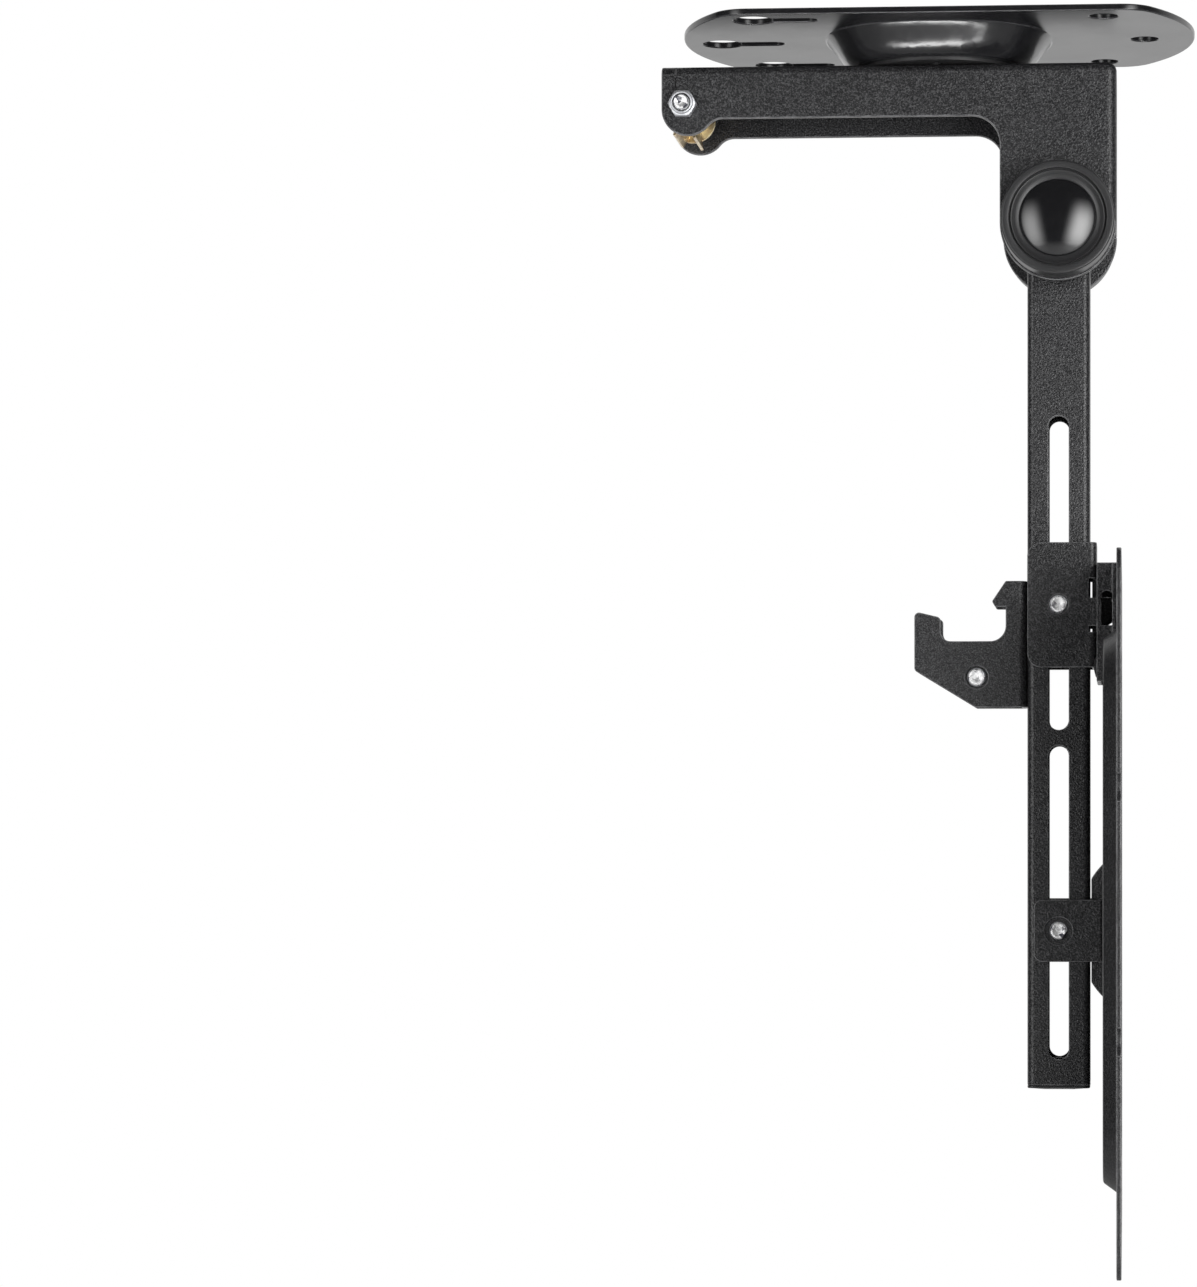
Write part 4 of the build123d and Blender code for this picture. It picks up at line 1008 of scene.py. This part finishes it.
def floor_material():
    """A pale speckled board that turns white for the camera towards its rim."""
    material = bpy.data.materials.new("pale_floor")
    material.use_nodes = True
    tree = material.node_tree
    shader = tree.nodes["Principled BSDF"]
    where = place(tree, "ShaderNodeTexCoord").outputs["Object"]
    speckle = place(tree, "ShaderNodeTexNoise", {"Vector": where, "Scale": 60.0, "Detail": 3.0})
    tree.links.new(mixed(tree, speckle.outputs[0], (0.80, 0.80, 0.80), (0.84, 0.84, 0.84)),
                   shader.inputs["Base Color"])
    shader.inputs["Roughness"].default_value = 0.8
    reach = place(tree, "ShaderNodeVectorMath", {0: where}, operation="LENGTH")
    rim = place(tree, "ShaderNodeMapRange",
                {"Value": reach.outputs["Value"], "From Min": 0.5, "From Max": 1.25},
                interpolation_type="SMOOTHSTEP")
    rays = place(tree, "ShaderNodeLightPath")
    seen = math_node(tree, "MULTIPLY", rim.outputs["Result"], rays.outputs["Is Camera Ray"])
    white = place(tree, "ShaderNodeEmission", {"Color": (1.0, 1.0, 1.0, 1.0), "Strength": 1.0})
    blend = place(tree, "ShaderNodeMixShader",
                  {0: seen, 1: shader.outputs[0], 2: white.outputs[0]})
    tree.links.new(blend.outputs[0], tree.nodes["Material Output"].inputs["Surface"])
    return material


floor_drop = 0.28
floor_mesh = bpy.data.meshes.new("floor")
disc = bmesh.new()
bmesh.ops.create_circle(disc, cap_ends=True, segments=96, radius=1.3)
disc.to_mesh(floor_mesh)
disc.free()
floor_mesh.transform(Matrix.Translation((0, 0, cad_low.z - floor_drop)))
floor = new_piece("floor", floor_mesh)
floor.data.materials.append(floor_material())


def fade_out(lamp, share):
    """Makes a softbox fall off towards its edges, as its diffuser does."""
    lamp.use_nodes = True
    tree = lamp.node_tree
    where = place(tree, "ShaderNodeNewGeometry").outputs["Parametric"]
    spot = place(tree, "ShaderNodeSeparateXYZ", {0: where})
    strength = 1.0
    for side in ("X", "Y"):
        inset = math_node(tree, "PINGPONG", spot.outputs[side], 0.5)
        edge = place(tree, "ShaderNodeMapRange",
                     {"Value": inset, "From Min": 0.0, "From Max": share,
                      "To Min": 0.05, "To Max": 1.0}, interpolation_type="SMOOTHSTEP")
        strength = math_node(tree, "MULTIPLY", edge.outputs["Result"], strength)
    tree.links.new(strength, tree.nodes["Emission"].inputs["Strength"])


lit_spot = Vector((fold_x * MM, 0, fold_z * MM - 0.05))


def soft_box(name, azimuth, elevation, distance, wide, tall, radiance, fade=0.45, roll=0.0):
    """A softbox aimed just below the fold axis, at angles from the near side's direction."""
    a, e = math.radians(azimuth), math.radians(elevation)
    away = Vector((math.sin(a) * math.cos(e), -math.cos(a) * math.cos(e), math.sin(e)))
    lamp = bpy.data.lights.new(name, "AREA")
    lamp.shape = "RECTANGLE"
    lamp.size = wide
    lamp.size_y = tall
    lamp.energy = radiance * math.pi * wide * tall
    fade_out(lamp, fade)
    holder = bpy.data.objects.new(name, lamp)
    holder.location = lit_spot + away * distance
    aimed = (-away).to_track_quat("-Z", "Y") @ Quaternion((0, 0, 1), math.radians(roll))
    holder.rotation_euler = aimed.to_euler()
    holder.visible_camera = False
    bpy.context.scene.collection.objects.link(holder)
    return holder


soft_box("soft_box_right", azimuth=30, elevation=-4, distance=1.1, wide=0.84, tall=1.65,
         radiance=8.0, roll=-14)
soft_box("soft_box_left", azimuth=-36, elevation=-4, distance=1.1, wide=0.70, tall=1.65,
         radiance=4.4, roll=10)
strip = soft_box("strip_below", azimuth=-12, elevation=-68, distance=0.48, wide=0.62, tall=0.06,
                 radiance=34.0, fade=0.3)
lit_by_strip = bpy.data.collections.new("lit_by_strip")
for name in ("ceiling_plate_pressing", "catch_with_prongs"):
    lit_by_strip.objects.link(bpy.data.objects[name])
strip.light_linking.receiver_collection = lit_by_strip

world = bpy.data.worlds.new("pale_surround")
bpy.context.scene.world = world
world.use_nodes = True
sky = world.node_tree
background = sky.nodes["Background"]
ray = place(sky, "ShaderNodeLightPath")
view = place(sky, "ShaderNodeTexCoord").outputs["Generated"]
direction = place(sky, "ShaderNodeSeparateXYZ", {0: view})
behind = place(sky, "ShaderNodeMapRange",
               {"Value": direction.outputs["Y"], "From Min": 0.30, "From Max": 0.62,
                "To Min": 0.07, "To Max": 0.86}, interpolation_type="SMOOTHSTEP")
level = math_node(sky, "MAXIMUM", behind.outputs["Result"], ray.outputs["Is Camera Ray"])
sky.links.new(level, background.inputs["Strength"])
background.inputs["Color"].default_value = (1.0, 1.0, 1.0, 1.0)

bpy.context.scene.view_settings.view_transform = "Standard"

lens = bpy.data.cameras.new("camera")
lens.lens = 112.13
lens.shift_x = -0.207
lens.shift_y = 0.1303
camera = bpy.data.objects.new("camera", lens)
camera.location = (0.0601, -1.2895, -0.2497)
camera.rotation_euler = (math.radians(90), 0.0, math.radians(3.73))
bpy.context.scene.collection.objects.link(camera)
bpy.context.scene.camera = camera
